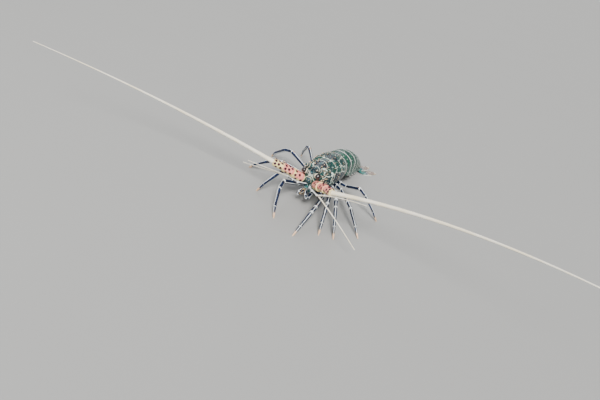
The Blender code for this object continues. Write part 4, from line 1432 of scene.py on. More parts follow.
@dataclass
class Antenna:
    """The thick spiny stalk of an antenna and the long whip at its end.

    The joints of the stalk are numbered from zero. Fields that end in sides hold the left
    side's values and the right side's. Turns are the azimuth and rise of each joint, creams the
    shares of its length between which it turns cream, and sweeps the whip's azimuths and rises
    at root and tip. Profiles give the share of a joint's radius at stops along it. A layout is
    a share of the length, then angles round it.
    """

    side: Side
    rng: random.Random
    root: Point = (10.9, -41.0, 37.2)
    lengths: Row = (18.5, 15.5, 15.5)
    radii: Row = (7.1, 6.2, 5.5)
    flatness: Pair = (1.04, 0.96)
    stops: Row = (0, 0.05, 0.16, 0.5, 0.8, 0.9, 0.96, 1.0)
    profile: Row = (0.80, 0.88, 0.95, 0.96, 1.02, 1.03, 0.97, 0.80)
    last_profile: Row = (0.80, 0.88, 0.95, 0.97, 1.0, 0.96, 0.86, 0.70)
    ribs: int = 9
    rib_height: float = 0.010
    membrane_half: float = 1.2
    membrane: tuple[Row, ...] = ((0.5, 0.72, 0.75, 0.72, 0.5), (0.5, 0.68, 0.71, 0.68, 0.5))
    turn_sides: tuple = (((50, 26), (56, 22), (60, 16)), ((-50, 27), (-57, 23), (-62, 17)))
    cream_sides: tuple = (
        ((0.86, 1.0), (0.945, 1.01), (0.50, 0.97)), ((0.60, 0.84), (0.945, 1.01), (-0.30, 0.42)),
    )
    sweep_sides: tuple = (((88, 77), (18, 4)), ((-86, -67), (6, 9.5)))
    whip_length: float = 400.0
    whip_radii: Pair = (3.0, 0.5)
    whip_taper: float = 1.35
    whip_swelling: float = 0.16
    ring_shortening: float = 0.93
    rings: int = 270
    spot_radius: float = 1.95
    spine_length: float = 4.8
    spine_shrink: float = 0.5
    spine_radius: float = 0.95
    spine_layout: tuple = ((0.86, (15, 62, 118, 165)), (0.52, (35, 90, 145)), (0.24, (70,)))
    flat_layout: tuple = ((0.66, (-26, 206)), (0.24, (-10, 190)))
    spinules: int = 90
    clear_of_head: float = -46.5

    def ways(self) -> Array:
        """Directions of the three joints and of the whip's root."""
        azimuths, rises = self.side.of(self.sweep_sides)
        return heading(*np.transpose([*self.side.of(self.turn_sides), (azimuths[0], rises[0])]))

    def joints(self) -> Array:
        """Ends of the three thick joints."""
        return strides(mirrored(self.root, self.side), self.ways()[:3] * np.reshape(self.lengths, (-1, 1)))

    def outline(self, k: int) -> Row:
        """Shares of a joint's radius at the stops along it."""
        return self.last_profile if k == 2 else self.profile

    def shaft(self, k: int) -> Shaft:
        """Middle line of one joint."""
        start, end = self.joints()[k : k + 2]
        return Shaft(start, end, level_across(end - start))

    def body(self, k: int, marks: Array) -> Surface:
        """One thick joint's tube, with thick rims, cut to the bends at its two ends.

        Args:
            k: Number of the joint.
            marks: Middles of its dark spots.

        Returns:
            The surface with its values.
        """
        rows, sides = 88, 112
        shaft, ways = self.shaft(k), self.ways()
        u, turn = np.linspace(0, 1, rows), around(sides)
        radius = self.radii[k] * eased(u, self.stops, self.outline(k))
        path = shaft.at(u, np.zeros(3), 0)
        wide, tall = (radius * share for share in self.flatness)
        rings = ovals(path, shaft.way, shaft.across, wide, tall, sides)
        ribs = 1 + self.rib_height * np.cos(turn * self.ribs) * smooth(0.2, 0.5, u)[:, None]
        rings = path[:, None] + (rings - path[:, None]) * ribs[..., None]
        if k:
            rings = onto_plane(rings, shaft.way, shaft.start, ways[k - 1] + ways[k], 1 - smooth(0.0, 0.4, u))
        rings = onto_plane(rings, shaft.way, shaft.end, ways[k] + ways[k + 1], smooth(0.6, 1.0, u))
        near = 1 - smooth(0.0, 0.06 if k else 0.24, u)
        end = np.maximum(near, smooth(*self.side.of(self.cream_sides)[k], u))
        low = smooth(-0.3, 0.5, -np.sin(turn))
        return loft(rings, {"spot": self.spots(rings, marks), "end": end[:, None], "low": low[None]})

    def segment(self, k: int) -> None:
        """One thick joint with its spines and spinules, and the membrane at its far end.

        Args:
            k: Number of the joint.
        """
        shaft, radius, many = self.shaft(k), self.radii[k], self.spinules
        d = shaft.way
        roots, ways, sizes = self.places(k)
        marks = np.vstack([roots, self.flat_spots(k)])
        spines = SPINES.grow(roots, ways, sizes, self.spine_radius, d)
        spines.values["spot"] = 1 - smooth(0.6, 1.0, spines.values["tip"])
        seed = np.random.default_rng(SEED + 10 * k + self.side.value)
        share, out = seed.uniform(0.12, 0.93, many), shaft.out(seed.uniform(0, 2 * np.pi, many))
        feet = shaft.at(share, out, radius * 0.97 * np.interp(share, self.stops, self.outline(k)))
        small = SPINULES.grow(feet, out * 0.7 + d, seed.uniform(0.6, 1.2, many), 0.30, d)
        small.values["spot"] = self.spots(small.points, marks)
        middles = shaft.end + np.outer(np.linspace(-1, 1, 5) * self.membrane_half, d)
        wide, tall = radius * np.array(self.membrane)
        name = "antenna_%s_%d" % (self.side.word, k + 1)
        make_piece(name + "_shell", joined([self.body(k, marks), spines, small]), STALK, (name,))
        make_piece(name + "_joint", loft(ovals(middles, d, shaft.across, wide, tall, 40)), MEMBRANE)

    def flat_spots(self, k: int) -> Array:
        """Middles of the dark spots that carry no spine, low on both flanks of a joint."""
        share, turn = np.transpose([(share, turn) for share, turns in self.flat_layout for turn in turns])
        return self.shaft(k).at(share, self.shaft(k).out(np.radians(turn)), self.radii[k] * 0.95)

    def spots(self, points: Array, roots: Array) -> Array:
        """One at a spine's foot, one half at the spot's radius from it, zero at twice the radius."""
        near = np.min([np.linalg.norm(points - root, axis=-1) for root in roots], axis=0)
        return np.clip(1 - near / (2 * self.spot_radius), 0, 1)

    def places(self, k: int) -> tuple[Array, Array, Array]:
        """Where and how one joint's spines stand, each a little out of line.

        Args:
            k: Number of the joint.

        Returns:
            The roots, the directions and the lengths.
        """
        shaft, draw, found = self.shaft(k), self.rng.uniform, []
        for share, turns in self.spine_layout:
            size = (self.spine_length - self.spine_shrink * k) * (1.0 if share > 0.8 else 0.8)
            for turn in turns:
                out = shaft.out(np.radians(turn + draw(-5, 5)))
                spot = shaft.at(share, out, self.radii[k] * 0.93)[0]
                if k or spot[1] <= self.clear_of_head:
                    found.append((*spot, *(out * 0.8 + shaft.way), size * draw(0.85, 1.1)))
        table = np.array(found)
        return table[:, :3], table[:, 3:6], table[:, 6]

    def whip(self) -> None:
        """The long whip: hundreds of short rings, each with a raised edge and a few spinules.

        The radius is tip + (root - tip) (1 - t)^taper at share t of the length, swollen at the
        root. A ring has a point of the path at its start, middle and edge, and rings grow shorter
        towards the tip.
        """
        azimuths, rises = self.side.of(self.sweep_sides)
        t = per_ring((0.0, 0.45, 0.85), self.rings, 0.0) + np.arange(3 * self.rings + 1) // 3
        t = 1 - (1 - t / self.rings) ** self.ring_shortening
        fine = np.linspace(0, 1, 1201)
        found = swept(self.joints()[-1], between(azimuths, fine), between(rises, fine), self.whip_length)
        path, tangents = (np.stack([np.interp(t, fine, row) for row in rows.T], -1) for rows in found)
        root = 1 + self.whip_swelling * np.exp(-t * 90)
        radius = between(self.whip_radii[::-1], (1 - t) ** self.whip_taper) * root
        radius[-1] = 0.2
        thick = radius * per_ring((0.90, 1.0, 1.03), self.rings, 1.0)
        rings = ovals(path, tangents, level_across(tangents), thick, thick, 12)
        cut = self.ways()[2] + tangents[0]
        rings[0] = onto_plane(rings[:1], tangents[0], path[0], cut, np.ones(1))[0]
        # The dip between each two rings gets painted shade in the ivory finish.
        body = loft(rings, {"hollow": per_ring((1.0, 0.0, 0.15), self.rings, 0.0)[:, None]})
        ring = np.repeat(np.arange(2, self.rings - 8, 2), 3)
        k, turn = ring * 3 + 2, np.resize((0.5, 2.6, 4.7), len(ring)) + ring * 0.9
        across = level_across(tangents[k])
        out = spokes(turn, across, np.cross(tangents[k], across))
        size = 0.25 + 0.32 * radius[k]
        roots = path[k] + out * (radius[k] * 0.95)[:, None]
        small = SPINULES.grow(roots, out * 0.5 + tangents[k], size, size * 0.3, tangents[k])
        name = "flagellum_" + self.side.word
        nodes = tuple(name + part for part in ("_root", "_middle", "_tip"))
        make_piece(name, joined([body, small]), IVORY, nodes, crease=80.0)

    def build(self) -> None:
        """The antenna from its root to the tip of its whip."""
        for k in range(3):
            self.segment(k)
        self.whip()


@dataclass
class Antennule:
    """Thin jointed stalk between the antennae, with two ringed branches.

    Turns are the azimuth and rise of each joint, on the left side and on the right. A branch
    has its azimuths and rises at root and tip, and bristles between two points of its path,
    whose size is their length and radius.
    """

    side: Side
    root: Point = (2.7, -39.5, 31.6)
    lengths: Row = (24.0, 13.0, 15.0)
    radii: Row = (1.7, 1.5, 1.4)
    stops: Row = (-0.02, 0.05, 0.45, 0.85, 0.95, 1.02)
    profile: Row = (0.55, 0.82, 0.84, 1.05, 1.1, 0.6)
    turn_sides: tuple = (((24, 23), (46, 15), (54, 11)), ((-17, 22), (-16, 34), (-12, 37)))
    inner_sides: tuple = (((72, 72), (34, 18)), ((4, -26), (33, 27)))
    outer_sides: tuple = (((66, 74), (-8, -26)), ((6, -32), (31, 22)))
    branch_length: float = 90.0
    branch_radii: Pair = (0.98, 0.5)
    apart: float = 0.95
    rings: int = 90
    bars: int = 9
    bristled: tuple[int, int] = (150, 262)
    bristle_size: Pair = (1.5, 0.07)
    stripes: Row = (45.0, 135.0, 270.0)
    stripe_share: float = 0.40

    def stalk(self, points: Array) -> Surface:
        """Three joints that flare to their ends.

        Args:
            points: Their ends.

        Returns:
            The surface with its values.
        """
        u = np.linspace(self.stops[0], self.stops[-1], 40)
        stripe = from_stripes(24, self.stripes) * self.stripe_share
        joint = np.maximum(1 - smooth(0.02, 0.06, u), smooth(0.90, 0.95, u))
        tubes = []
        for start, step, size in zip(points, np.diff(points, axis=0), self.radii):
            radius = size * eased(u, self.stops, self.profile)
            rings = ovals(start + np.outer(u, step), step, level_across(step), radius, radius, 24)
            tubes.append(loft(rings, {"stripe": stripe[None], "joint": joint[:, None]}))
        return joined(tubes)

    def branch(self, root: Array, azimuths: Pair, rises: Pair, bristled: bool) -> Surface:
        """One ringed branch, bristles hanging from its outer half where it has them.

        Args:
            root: Where it starts.
            azimuths: Its azimuths at root and tip.
            rises: Its rises there.
            bristled: Whether it has bristles.

        Returns:
            The surface with its values.
        """
        steps, sides, count = 10, 8, self.rings * 3 + 1
        ease = (np.arange(steps) / steps) ** 0.6
        turns = heading(between(azimuths, ease), between(rises, ease))
        path, tangents = flow(strides(root, turns * self.branch_length / steps), count)
        u = np.linspace(0, 1, count)
        radius = between(self.branch_radii, u) * per_ring((0.86, 1.0, 1.04), self.rings, 0.4)
        rings = ovals(path, tangents, level_across(tangents), radius, radius, sides)
        # The dip between each two rings gets painted shade in the ivory finish.
        hollow = per_ring((1.0, 0.0, 0.1), self.rings, 0.0)
        bar = smooth(0.55, 0.8, np.sin(u * 2 * np.pi * self.bars))
        surfaces = [loft(rings, {"hollow": hollow[:, None], "bar": bar[:, None]})]
        if bristled:
            k = np.arange(*self.bristled)
            ways = tangents[k] * 0.6 - UPWARD
            surfaces.append(HAIRS.grow(path[k], ways, *self.bristle_size, tangents[k]))
        return joined(surfaces)

    def build(self) -> None:
        """The antennule: its stalk and its two branches."""
        ways = heading(*np.transpose(self.side.of(self.turn_sides)))
        points = strides(mirrored(self.root, self.side), ways * np.reshape(self.lengths, (-1, 1)))
        name = "antennule_" + self.side.word
        make_piece(name + "_stalk", self.stalk(points), LIMB, (name,))
        for word, sides, away in (("inner", self.inner_sides, -1), ("outer", self.outer_sides, 1)):
            root = points[-1] + ways[-1] * 0.1 + level_across(ways[-1]) * self.apart * self.side.value * away
            surface = self.branch(root, *self.side.of(sides), bristled=away > 0)
            make_piece("%s_%s_branch" % (name, word), surface, IVORY, ("%s_%s" % (name, word),), crease=80.0)


# Legs


@dataclass
class Leg:
    """One of ten walking legs, of six lengths from the hip to the toe.

    The index counts the legs of a side from the front, from zero. Lengths, radii, feet and
    leans have one value for each leg, shares and swellings one for each length of a leg, and
    bends one for each of its last three. Feet are where the toes stand on the floor, and leans
    the degrees by which each leg's plane leans from upright, both on the left side and on the
    right. Swellings are the radii at both ends of each length, against the hip's radius for the
    first and the leg's for the others. The spine's size is its length and radius, and it stands
    back from the knee. A brush of bristles, on each of the last two lengths, has the shares of
    the length between which it stands, the bristles' length and the shaft's radius against the
    leg's.
    """

    side: Side
    index: int
    shares: Row = (0.09, 0.10, 0.31, 0.12, 0.24, 0.14)
    lengths: Row = (116.0, 120.0, 122.0, 120.0, 108.0)
    radii: Row = (2.9, 2.9, 2.8, 2.6, 2.3)
    hip_radii: Row = (4.3, 4.6, 4.6, 4.4, 4.0)
    swellings: tuple[Pair, ...] = (
        (1.0, 0.92), (1.08, 1.0), (0.92, 1.12), (0.94, 1.0), (0.9, 0.8), (0.72, 0.42),
    )
    hip_height: float = 17.6
    bends: Row = (0, -22, -36)
    slack: float = 0.5
    spine_size: Pair = (3.4, 0.7)
    spine_back: float = 3.2
    toe_bristles: int = 130
    bristle_radius: float = 0.07
    floor_gap: float = 0.2
    brushes: tuple[Row, ...] = ((0.35, 0.97, 1.3, 0.8), (0.08, 0.86, 1.7, 0.62))
    feet_sides: tuple = (
        ((31, -118), (55, -90), (74, -82), (98, -54), (99, 4)),
        ((-9, -105), (-65, -70), (-112, -26), (-110, 32), (-78, 74)),
    )
    lean_sides: tuple = ((-22, 0, 8, 14, 14), (30, -18, -22, -16, -8))
    sternum: Sternum = field(default_factory=Sternum)

    def joints(self) -> tuple[Array, Array]:
        """Joints of the leg, with the knee raised over the line from hip to toe.

        The knee is where a circle about the third joint meets one about the toe, and the three
        last lengths bend by fixed angles in the leg's plane.

        Returns:
            The seven points from the hip to the toe, and the direction square to the leg's plane.
        """
        spans = np.array(self.shares) * self.lengths[self.index]
        row = self.sternum.roots[self.index]
        hip = np.array([self.side.value * self.sternum.half(row), row, self.hip_height])
        foot = np.array([*self.side.of(self.feet_sides)[self.index], 0.0])
        level = unit((foot - hip) * (1, 1, 0))
        coxa = hip + spans[0] * self.sternum.wall(self.side)
        ischium = coxa + spans[1] * unit(level * 0.8 + (0.3 * self.side.value, 0, 0.12))
        bends = np.radians(self.bends)
        lower = strides(np.zeros(2), spans[3:, None] * np.stack([np.cos(bends), np.sin(bends)], -1))
        reach = np.linalg.norm(lower[-1])
        distance = min(np.linalg.norm(foot - ischium), spans[2] + reach - self.slack)
        axis = unit(foot - ischium)
        up = unit(UPWARD - axis * axis[2])
        lean = np.radians(self.side.of(self.lean_sides)[self.index])
        up = up * np.cos(lean) + np.cross(axis, up) * np.sin(lean)
        angle = np.arccos((spans[2] ** 2 + distance**2 - reach**2) / (2 * spans[2] * distance))
        knee = ischium + spans[2] * (np.cos(angle) * axis + np.sin(angle) * up)
        onward = unit(foot - knee)
        over = unit(up - onward * (up @ onward))
        c, s = lower[-1] / reach
        below = knee + lower @ np.array([(c, -s), (s, c)]) @ np.stack([onward, over])
        return np.vstack([hip, coxa, ischium, below]), np.cross(axis, up)

    def build(self) -> None:
        """The leg with its knee spine and the brushes of bristles along its last two lengths."""
        joints, across = self.joints()
        base = self.radii[self.index]
        sizes = np.array(self.swellings) * base
        sizes[0] *= self.hip_radii[self.index] / base
        shafts = [Shaft(start, end, across) for start, end in zip(joints, joints[1:])]
        tubes = [hard_length(shaft, *pair) for shaft, pair in zip(shafts[:5], sizes)]
        claw = hard_length(shafts[5], *sizes[5], claw=True, stands=True)
        thigh = shafts[2].way
        top = np.cross(thigh, across)
        top = top * np.sign(top[2])
        spot = joints[3] - thigh * self.spine_back + top * base * 1.05
        spine = SPINES.grow(spot, thigh + top * 0.6, *self.spine_size, thigh)
        tubes.append(spine.painted(toe=1.0, stripe=90.0))
        name = "leg_%s_%d" % (self.side.word, self.index + 1)
        make_piece(name + "_shell", joined(tubes), LIMB, (name + "_upper", name + "_lower"))
        make_piece(name + "_claw", claw, LIMB)
        make_piece(name + "_bristles", self.bristles(shafts[4:], base), BRISTLE)

    def bristles(self, shafts: list[Shaft], base: float) -> Surface:
        """Short bristles in bands along the shin and thick round the toe, all pointing onward.

        Args:
            shafts: Middle lines of the shin and the toe.
            base: The leg's radius.

        Returns:
            The surface, without the bristles that would reach the floor.
        """
        rng = np.random.default_rng(SEED + 50 + self.index + 10 * self.side.value)
        many, parts = self.toe_bristles, []
        for shaft, (low, high, size, thick) in zip(shafts, self.brushes):
            d, share = shaft.way, rng.uniform(low, high, many)
            turn = rng.choice([40, 90, 140, 220, 270, 320], many) + rng.uniform(-9, 9, many)
            out = shaft.out(np.radians(turn))
            roots = shaft.at(share, out, base * thick * (1 - 0.35 * share) * 0.9)
            lengths = size * rng.uniform(0.6, 1.1, many)
            ways = unit(out * 0.6 + d)
            clear = roots[:, 2] + ways[:, 2] * lengths > self.floor_gap
            parts.append(HAIRS.grow(roots[clear], ways[clear], lengths[clear], self.bristle_radius, d))
        return joined(parts)


# Abdomen and tail fan


@dataclass
class Abdomen:
    """Six overlapping rings with pointed side lobes, and the small leaf limbs under them.

    Its half widths, arches and bellies are given at the rings' ends, its lengths, slopes and
    lobes ring by ring. Sizes and drops are the outline's size and the lobe's share at stops
    along a ring. A leaf limb is as thick as given at its root and tip, and the size of its
    fringe is the bristles' length and radius.
    """

    lengths: Row = (13.0, 15.0, 14.0, 13.0, 12.0, 14.0)
    slopes: Row = (-3.0, -10.0, -18.0, -26.0, -33.0, -36.0)
    halves: Row = (20.6, 21.2, 20.8, 19.8, 18.4, 16.8, 15.2)
    arches: Row = (16.2, 16.2, 15.4, 14.2, 12.6, 10.6, 7.6)
    bellies: Row = (11.0, 10.6, 10.0, 9.0, 7.8, 6.2, 4.2)
    lobes: Row = (4.0, 10.0, 9.5, 8.5, 7.0, 3.0)
    size_stops: Row = (0, 0.16, 0.24, 0.34, 0.62, 0.9, 0.965, 1)
    sizes: Row = (0.945, 0.955, 0.975, 0.995, 1.0, 1.004, 1.0, 0.975)
    drop_stops: Row = (0, 0.16, 0.3, 0.62, 0.8, 0.93, 1)
    drops: Row = (0.1, 0.28, 0.55, 0.88, 1.0, 0.72, 0.3)
    leaf_stops: Row = (0, 0.3, 0.6, 0.85, 1)
    leaf_halves: Row = (1.4, 2.8, 3.4, 2.4, 0.5)
    leaf_tilt: float = 0.62
    leaf_thickness: Pair = (0.46, 0.26)
    fringe_size: Pair = (1.3, 0.06)
    tooth_sizes: Row = (0.9, 1.1, 1.2, 1.0)
    tooth_radius: float = 0.34
    start: Point = (0.0, 37.0, 38.5)
    foremost: float = 37.7
    gap: float = 0.3

    def joints(self) -> tuple[Array, Array]:
        """The rings' middle line.

        Returns:
            Middles of the rings' ends, and the direction of each ring.
        """
        a = np.radians(self.slopes)
        ways = spread(0.0, np.cos(a), np.sin(a))
        return strides(np.array(self.start), ways * np.reshape(self.lengths, (-1, 1))), ways

    def section(self, half: float, arch: float, belly: float, lobe: float) -> Array:
        """Outline of one ring across the body: the arch, a hanging lobe on each side, the belly.

        The arch is half an ellipse. Each lobe runs down its outer face, round its tip and up its
        inner face on a cubic curve, and the belly is nearly flat between them.

        Args:
            half: Half width.
            arch: Height of the arch over the ring's middle.
            belly: Depth of the belly under it.
            lobe: How far the lobes hang below the belly.

        Returns:
            The points, across and up.
        """
        a = np.radians(np.linspace(0, 180, 61))
        top = np.stack([half * np.cos(a), arch * np.sin(a)], -1)
        outer = -half * 1.02
        corners = np.array(
            [
                (-half, 0.0),
                (-half * 1.01, -belly * 0.55),
                (outer, -belly - lobe * 0.72),
                (outer + 0.75, -belly - lobe),
                (outer + 1.6, -belly - lobe * 0.78),
                (-half + 2.8, -belly * 0.98),
                (-half * 0.5, -belly - 0.6),
                (0.0, -belly - 0.6),
            ]
        )
        stops = np.arange(len(corners))
        u = np.linspace(0, stops[-1], 60)[1:]
        left = np.stack([eased(u, stops, row) for row in corners.T], -1)
        return np.vstack([top, left, left[-2::-1] * (-1, 1)])

    def ring(self, index: int) -> None:
        """One ring: the outline carried back, narrow where the ring before slides over it.

        Args:
            index: Number of the ring, from zero.
        """
        points, ways = self.joints()
        start, end = points[index : index + 2]
        d, last = ways[index], index == 5
        front = unit(d + (ways[index - 1] if index else -FORWARD))
        rear = unit(d + (d if last else ways[index + 1]))
        u = np.linspace(0, 1, 46)
        size = eased(u, self.size_stops, self.sizes) - 0.012 * bump(u, 0.42, 0.025) * (not last)
        waves = 0.05 * np.sin(u * 62) * smooth(0.72, 0.8, u) * (not last)
        drop = eased(u, self.drop_stops, self.drops) + waves
        rows = (self.halves, self.arches, self.bellies)
        half, arch, belly = (between(row[index : index + 2], u) for row in rows)
        half, arch, lobe = half * size, arch * size, self.lobes[index] * drop
        across, up = np.moveaxis([self.section(*row) for row in zip(half, arch, belly, lobe)], -1, 0)
        middles = start + np.outer(u, end - start)
        rings = middles[:, None] + across[..., None] * SIDEWAYS + up[..., None] * unit(np.cross(SIDEWAYS, d))
        rings = onto_plane(rings, d, start + front * self.gap / 2, front, 1 - smooth(0, 0.5, u))
        rings = onto_plane(rings, d, end - rear * self.gap / 2, rear, smooth(0.5, 1.0, u))
        if index == 0:
            rings[..., 1] = np.maximum(rings[..., 1], self.foremost)
        hang = smooth(0.80, 1.0, -up / (belly + lobe)[:, None])
        rim = 0.9 * hang * (np.abs(across) > 0.9 * half[:, None]) * smooth(0.3, 0.6, u)[:, None]
        surfaces = [loft(rings, {"along": u[:, None], "rim": rim})]
        if 1 <= index <= 4:
            surfaces.append(self.lobe_teeth(rings, d))
        name = "abdomen_%d" % (index + 1)
        make_piece(name + "_shell", joined(surfaces), RING, (name,))

    def lobe_teeth(self, rings: Array, d: Array) -> Surface:
        """Small teeth along the rear edge of both side lobes.

        Args:
            rings: Points of the ring that they stand on.
            d: The ring's direction.

        Returns:
            The surface with its values.
        """
        rows = np.array([36, 38, 40, 42])
        left = rings[rows, rings[rows, :, 2].argmin(axis=1)]
        roots = np.vstack([left, left * (-1, 1, 1)])
        ways = np.broadcast_to(d - UPWARD * 0.9, roots.shape)
        teeth = SPINULES.grow(roots, ways, np.tile(self.tooth_sizes, 2), self.tooth_radius, d)
        return teeth.painted(along=0.5, rim=1.0)

    def leaf(self, index: int, side: Side) -> tuple[Surface, Surface]:
        """One leaf limb.

        Args:
            index: Number of the ring that it hangs under, from zero.
            side: The animal's side.

        Returns:
            The leaf and the fringe of bristles round it.
        """
        points, ways = self.joints()
        d, length = ways[index], self.lengths[index]
        up = unit(np.cross(SIDEWAYS, d))
        lie = unit(d - up * self.leaf_tilt)
        root = points[index] + d * length * 0.3 - up * (self.bellies[index] - 1.0)
        root = root + SIDEWAYS * side.value * self.halves[index] * 0.45
        rows, first = 24, 9
        u = np.linspace(0, 1, rows)
        half = eased(u, self.leaf_stops, self.leaf_halves)
        path = root + np.outer(u * 0.75 * length, lie)
        rings = ovals(path, lie, SIDEWAYS, half, between(self.leaf_thickness, u), 24)
        k = np.tile(np.arange(first, rows), 2)
        sign = np.repeat([1.0, -1.0], rows - first)
        tips = path[k] + np.outer(sign * half[k] * 0.95, SIDEWAYS)
        fringe = HAIRS.grow(tips, np.outer(sign * 0.5, SIDEWAYS) + lie, *self.fringe_size, lie)
        return loft(rings, {"along": u[:, None]}), fringe

    def build(self) -> None:
        """The six rings, and the leaf limbs in pairs under four of them."""
        for index in range(6):
            self.ring(index)
        leaves, fringes = zip(*(self.leaf(index, side) for index in range(1, 5) for side in Side))
        make_piece("swimmerets", joined(leaves), FAN)
        make_piece("swimmeret_bristles", joined(fringes), BRISTLE)


@dataclass(frozen=True)
class Blade:
    """Sizes of one blade of the tail fan.

    Its underside falls from drop at the root to rest, and its thickness from thick to a thin
    rim, up to level_at, a share of its length. Turn is its angle from straight back.
    """

    name: str
    x: float
    turn: float
    length: float
    halves: Row
    drop: float
    rest: float
    thick: float
    level_at: float


@dataclass
class TailFan:
    """The telson in the middle with two blades on each side, ribbed and fringed."""

    telson: Blade = Blade(
        "telson", x=0.0, turn=0, length=31.0, halves=(6.2, 7.6, 8.2, 7.8, 6.2),
        drop=6.0, rest=1.8, thick=6.0, level_at=0.5,
    )
    inner: Blade = Blade(
        "inner", x=9.2, turn=20, length=31.0, halves=(2.2, 5.0, 6.9, 7.8, 6.0),
        drop=4.6, rest=1.8, thick=4.4, level_at=0.45,
    )
    outer: Blade = Blade(
        "outer", x=14.0, turn=45, length=33.0, halves=(2.4, 5.8, 8.0, 8.4, 6.4),
        drop=3.2, rest=0.0, thick=4.2, level_at=0.3,
    )
    start: float = -2.5
    rim: float = 1.2
    fringe: float = 1.3
    fringe_hairs: int = 96
    rays: int = 13
    ray_height: float = 0.16
    bow: float = 0.22
    crown: float = 0.82
    keel: float = 0.35
    fringe_radius: float = 0.09
    abdomen: Abdomen = field(default_factory=Abdomen)

    def clear(self, rings: Array, along: Array) -> Array:
        """Points slid back along a blade until they clear the last ring of the abdomen.

        Args:
            rings: The blade's points.
            along: Its direction.

        Returns:
            The points, none of them under the floor.
        """
        points, ways = self.abdomen.joints()
        short = np.clip((points[-1] + ways[-1] * 0.15 - rings) @ ways[-1], 0, None) / (along @ ways[-1])
        rings = rings + short[..., None] * along
        rings[..., 2] = np.maximum(rings[..., 2], 0.0)
        return rings

    def blade(self, blade: Blade, sign: int = 1) -> tuple[Surface, Surface]:
        """One blade and its fringe.

        The top is the fall plus the depth times a low crown across, with fine rays that start
        half way out; the underside is level. The blade's end bows forward at its corners.

        Args:
            blade: The blade's sizes.
            sign: One on the left side, minus one on the right.

        Returns:
            The blade and its fringe of bristles.
        """
        root = np.array([sign * blade.x, self.abdomen.joints()[0][-1][1] + self.start, 0.0])
        a = np.radians(sign * blade.turn)
        along, across = np.array([np.sin(a), np.cos(a), 0.0]), np.array([np.cos(a), -np.sin(a), 0.0])
        u, w = np.linspace(0.0, 1.0, 70)[:, None], np.linspace(-1, 1, 61)
        half = eased(u, np.linspace(0, 1, 5), blade.halves) * np.sqrt(1 - smooth(0.9, 1.0, u) * 0.35)
        slope = np.clip(1 - u / blade.level_at, 0, 1) ** 1.3
        fall = between((blade.rest, blade.drop), slope)
        depth = self.rim * 0.8 + (blade.thick - self.rim) * slope
        bow = (blade.length - self.fringe) * u * (1 - self.bow * w**2 * u)
        base = root + bow[..., None] * along + (w * half)[..., None] * across
        ray = 0.5 + 0.5 * np.cos(w * np.pi * self.rays)
        ribs = self.ray_height * ray * smooth(0.42, 0.6, u)
        keel = self.keel * bump(w, 0.0, 0.10) * (1 - smooth(0.4, 0.75, u))
        top = base + (fall + depth * np.sqrt(1 - self.crown * w**2) + ribs + keel)[..., None] * UPWARD
        under = root + (base - root) * (1 - 0.02 * np.abs(w[:, None]) ** 8)
        under[..., 2] = fall
        rim = np.maximum(smooth(0.84, 0.97, np.abs(w)) * smooth(0.15, 0.4, u), smooth(0.93, 0.985, u))
        values = {
            "along": u,
            "ray": np.concatenate([ray, ray[::-1]])[None],
            "rim": np.concatenate([rim, rim[:, ::-1]], 1),
        }
        surface = loft(self.clear(np.concatenate([top, under[:, ::-1]], 1), along), values)
        place = np.linspace(-1, 1, self.fringe_hairs)
        edge = np.stack([np.interp(place, w, row) for row in base[-1].T], -1)
        edge[:, 2] = blade.rest + 0.45
        ways = along + np.outer(place * 0.35, across)
        lengths = self.fringe + 0.3 - 0.2 * place**2
        return surface, HAIRS.grow(edge - along * 0.4, ways, lengths, self.fringe_radius, along)

    def build(self) -> None:
        """The five blades and the fringe of them all."""
        middle, fringe = self.blade(self.telson)
        make_piece("telson_blade", middle, FAN, ("telson",), crease=60.0)
        fringes = [fringe]
        for side in Side:
            for blade in (self.inner, self.outer):
                surface, fringe = self.blade(blade, side.value)
                fringes.append(fringe)
                name = "uropod_%s_%s" % (side.word, blade.name)
                make_piece(name + "_blade", surface, FAN, (name,), crease=60.0)
        make_piece("tail_fringe", joined(fringes), BRISTLE)


# Studio


@dataclass(frozen=True)
class Lamp:
    """Lamp that looks at the head from a place in metres.

    Its power is in watts for a square box and in watts for each square metre for a sun, its
    spread the box's width in metres or the sun's apparent size in degrees.
    """

    name: str
    place: Point
    power: float
    spread: float
    colour: Colour
    box: bool = False
    target: Point = (0.0, 0.0, 0.05)

    def build(self) -> None:
        """The lamp, a box of light or an even sun."""
        data = bpy.data.lights.new(self.name, "AREA" if self.box else "SUN")
        if self.box:
            data.size = self.spread
        else:
            data.angle = np.radians(self.spread)
        data.energy = self.power
        data.color = self.colour
        lamp = bpy.data.objects.new(self.name, data)
        lamp.location = self.place
        lamp.rotation_euler = (Vector(self.target) - Vector(self.place)).to_track_quat("-Z", "Y").to_euler()
        bpy.context.scene.collection.objects.link(lamp)


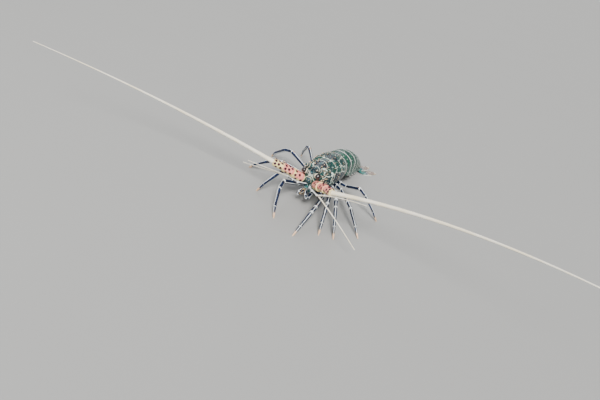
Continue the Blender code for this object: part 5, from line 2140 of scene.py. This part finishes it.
@dataclass
class Studio:
    """Pale floor, soft lights, and the camera of the photograph.

    The aim, a point of the head, falls on its pixel of the picture.
    """

    lens: float = 31.2
    distance: float = 0.73
    aim: Point = (0.0, -44.0, 44.0)
    aim_pixel: Pair = (309.0, 178.5)
    focal_pixels: float = 520.0
    picture: tuple[int, int] = (600, 400)
    azimuth: float = 25.0
    elevation: float = 33.0
    roll: float = 14.0
    floor_size: float = 14.0
    floor_colour: Colour = (0.33, 0.33, 0.326)
    floor_shade: float = 0.97
    floor_roughness: float = 0.85
    sky_colour: Colour = (0.86, 0.89, 0.92)
    sky_strength: float = 0.42
    lamps: tuple[Lamp, ...] = (
        Lamp("key", (0.7, -1.0, 1.5), 5.6, 20.0, (1.0, 0.98, 0.94)),
        Lamp("rim", (-0.9, 1.5, 1.5), 1.1, 35.0, (0.94, 0.97, 1.0)),
        Lamp("box", (-0.5, -0.9, 0.9), 4.0, 0.6, (1.0, 1.0, 1.0), box=True),
    )

    def camera(self) -> None:
        """Place the camera so that the aim falls on its pixel.

        The back axis follows the azimuth and elevation, the other two are turned by the roll, and
        the camera stands off the aim by the distance along the aim pixel's ray.
        """
        r = np.radians(self.roll)
        back = heading(self.azimuth, self.elevation)
        level = level_across(back)
        up = np.cross(back, level)
        right = np.cos(r) * level + np.sin(r) * up
        top = -np.sin(r) * level + np.cos(r) * up
        across, down = (np.array(self.aim_pixel) - np.array(self.picture) / 2) / self.focal_pixels
        offset = self.distance * (across * right - down * top - back)
        spot = np.array(self.aim) * MM + origin() - offset
        data = bpy.data.cameras.new("camera")
        data.lens = self.lens
        data.clip_start = 0.01
        camera = bpy.data.objects.new("camera", data)
        turn = Matrix((right, top, back)).transposed()
        camera.matrix_world = Matrix.Translation(Vector(spot)) @ turn.to_4x4()
        bpy.context.scene.collection.objects.link(camera)
        bpy.context.scene.camera = camera

    def floor(self) -> None:
        """Wide plain floor under the toes, with a faint grain."""
        half = self.floor_size / 2
        mesh = bpy.data.meshes.new("floor")
        corners = [(-half, -half, 0), (half, -half, 0), (half, half, 0), (-half, half, 0)]
        mesh.from_pydata(corners, [], [(0, 1, 2, 3)])
        material = bpy.data.materials.new("floor_paint")
        material.use_nodes = True
        t = Tree(material.node_tree)
        near = tuple(self.floor_shade * c for c in self.floor_colour)
        paint = t.over(near, (t.noise(t.place(), 6.0), self.floor_colour))
        t.dress({"Base Color": paint, "Roughness": self.floor_roughness})
        mesh.materials.append(material)
        floor = bpy.data.objects.new("floor", mesh)
        bpy.context.scene.collection.objects.link(floor)

    def build(self) -> None:
        """The camera, the floor, the lamps and the sky."""
        self.camera()
        self.floor()
        for lamp in self.lamps:
            lamp.build()
        world = bpy.data.worlds.new("studio_sky")
        bpy.context.scene.world = world
        world.use_nodes = True
        sky = world.node_tree.nodes["Background"]
        sky.inputs["Color"].default_value = (*self.sky_colour, 1.0)
        sky.inputs["Strength"].default_value = self.sky_strength


def main() -> None:
    """Build the studio, then the animal in it from head to tail."""
    logging.basicConfig(level=logging.INFO, format="%(name)s %(message)s")
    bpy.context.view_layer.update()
    rng = random.Random(SEED)
    Studio().build()
    Carapace(rng).build()
    Sternum().build()
    HeadFront(rng).build()
    for side in Side:
        Horn(side).build()
        Eye(side).build()
        Antenna(side, rng).build()
        Antennule(side).build()
        Maxilliped(side).build()
        for index in range(5):
            Leg(side, index).build()
    Abdomen().build()
    TailFan().build()


if __name__ == "__main__":
    main()
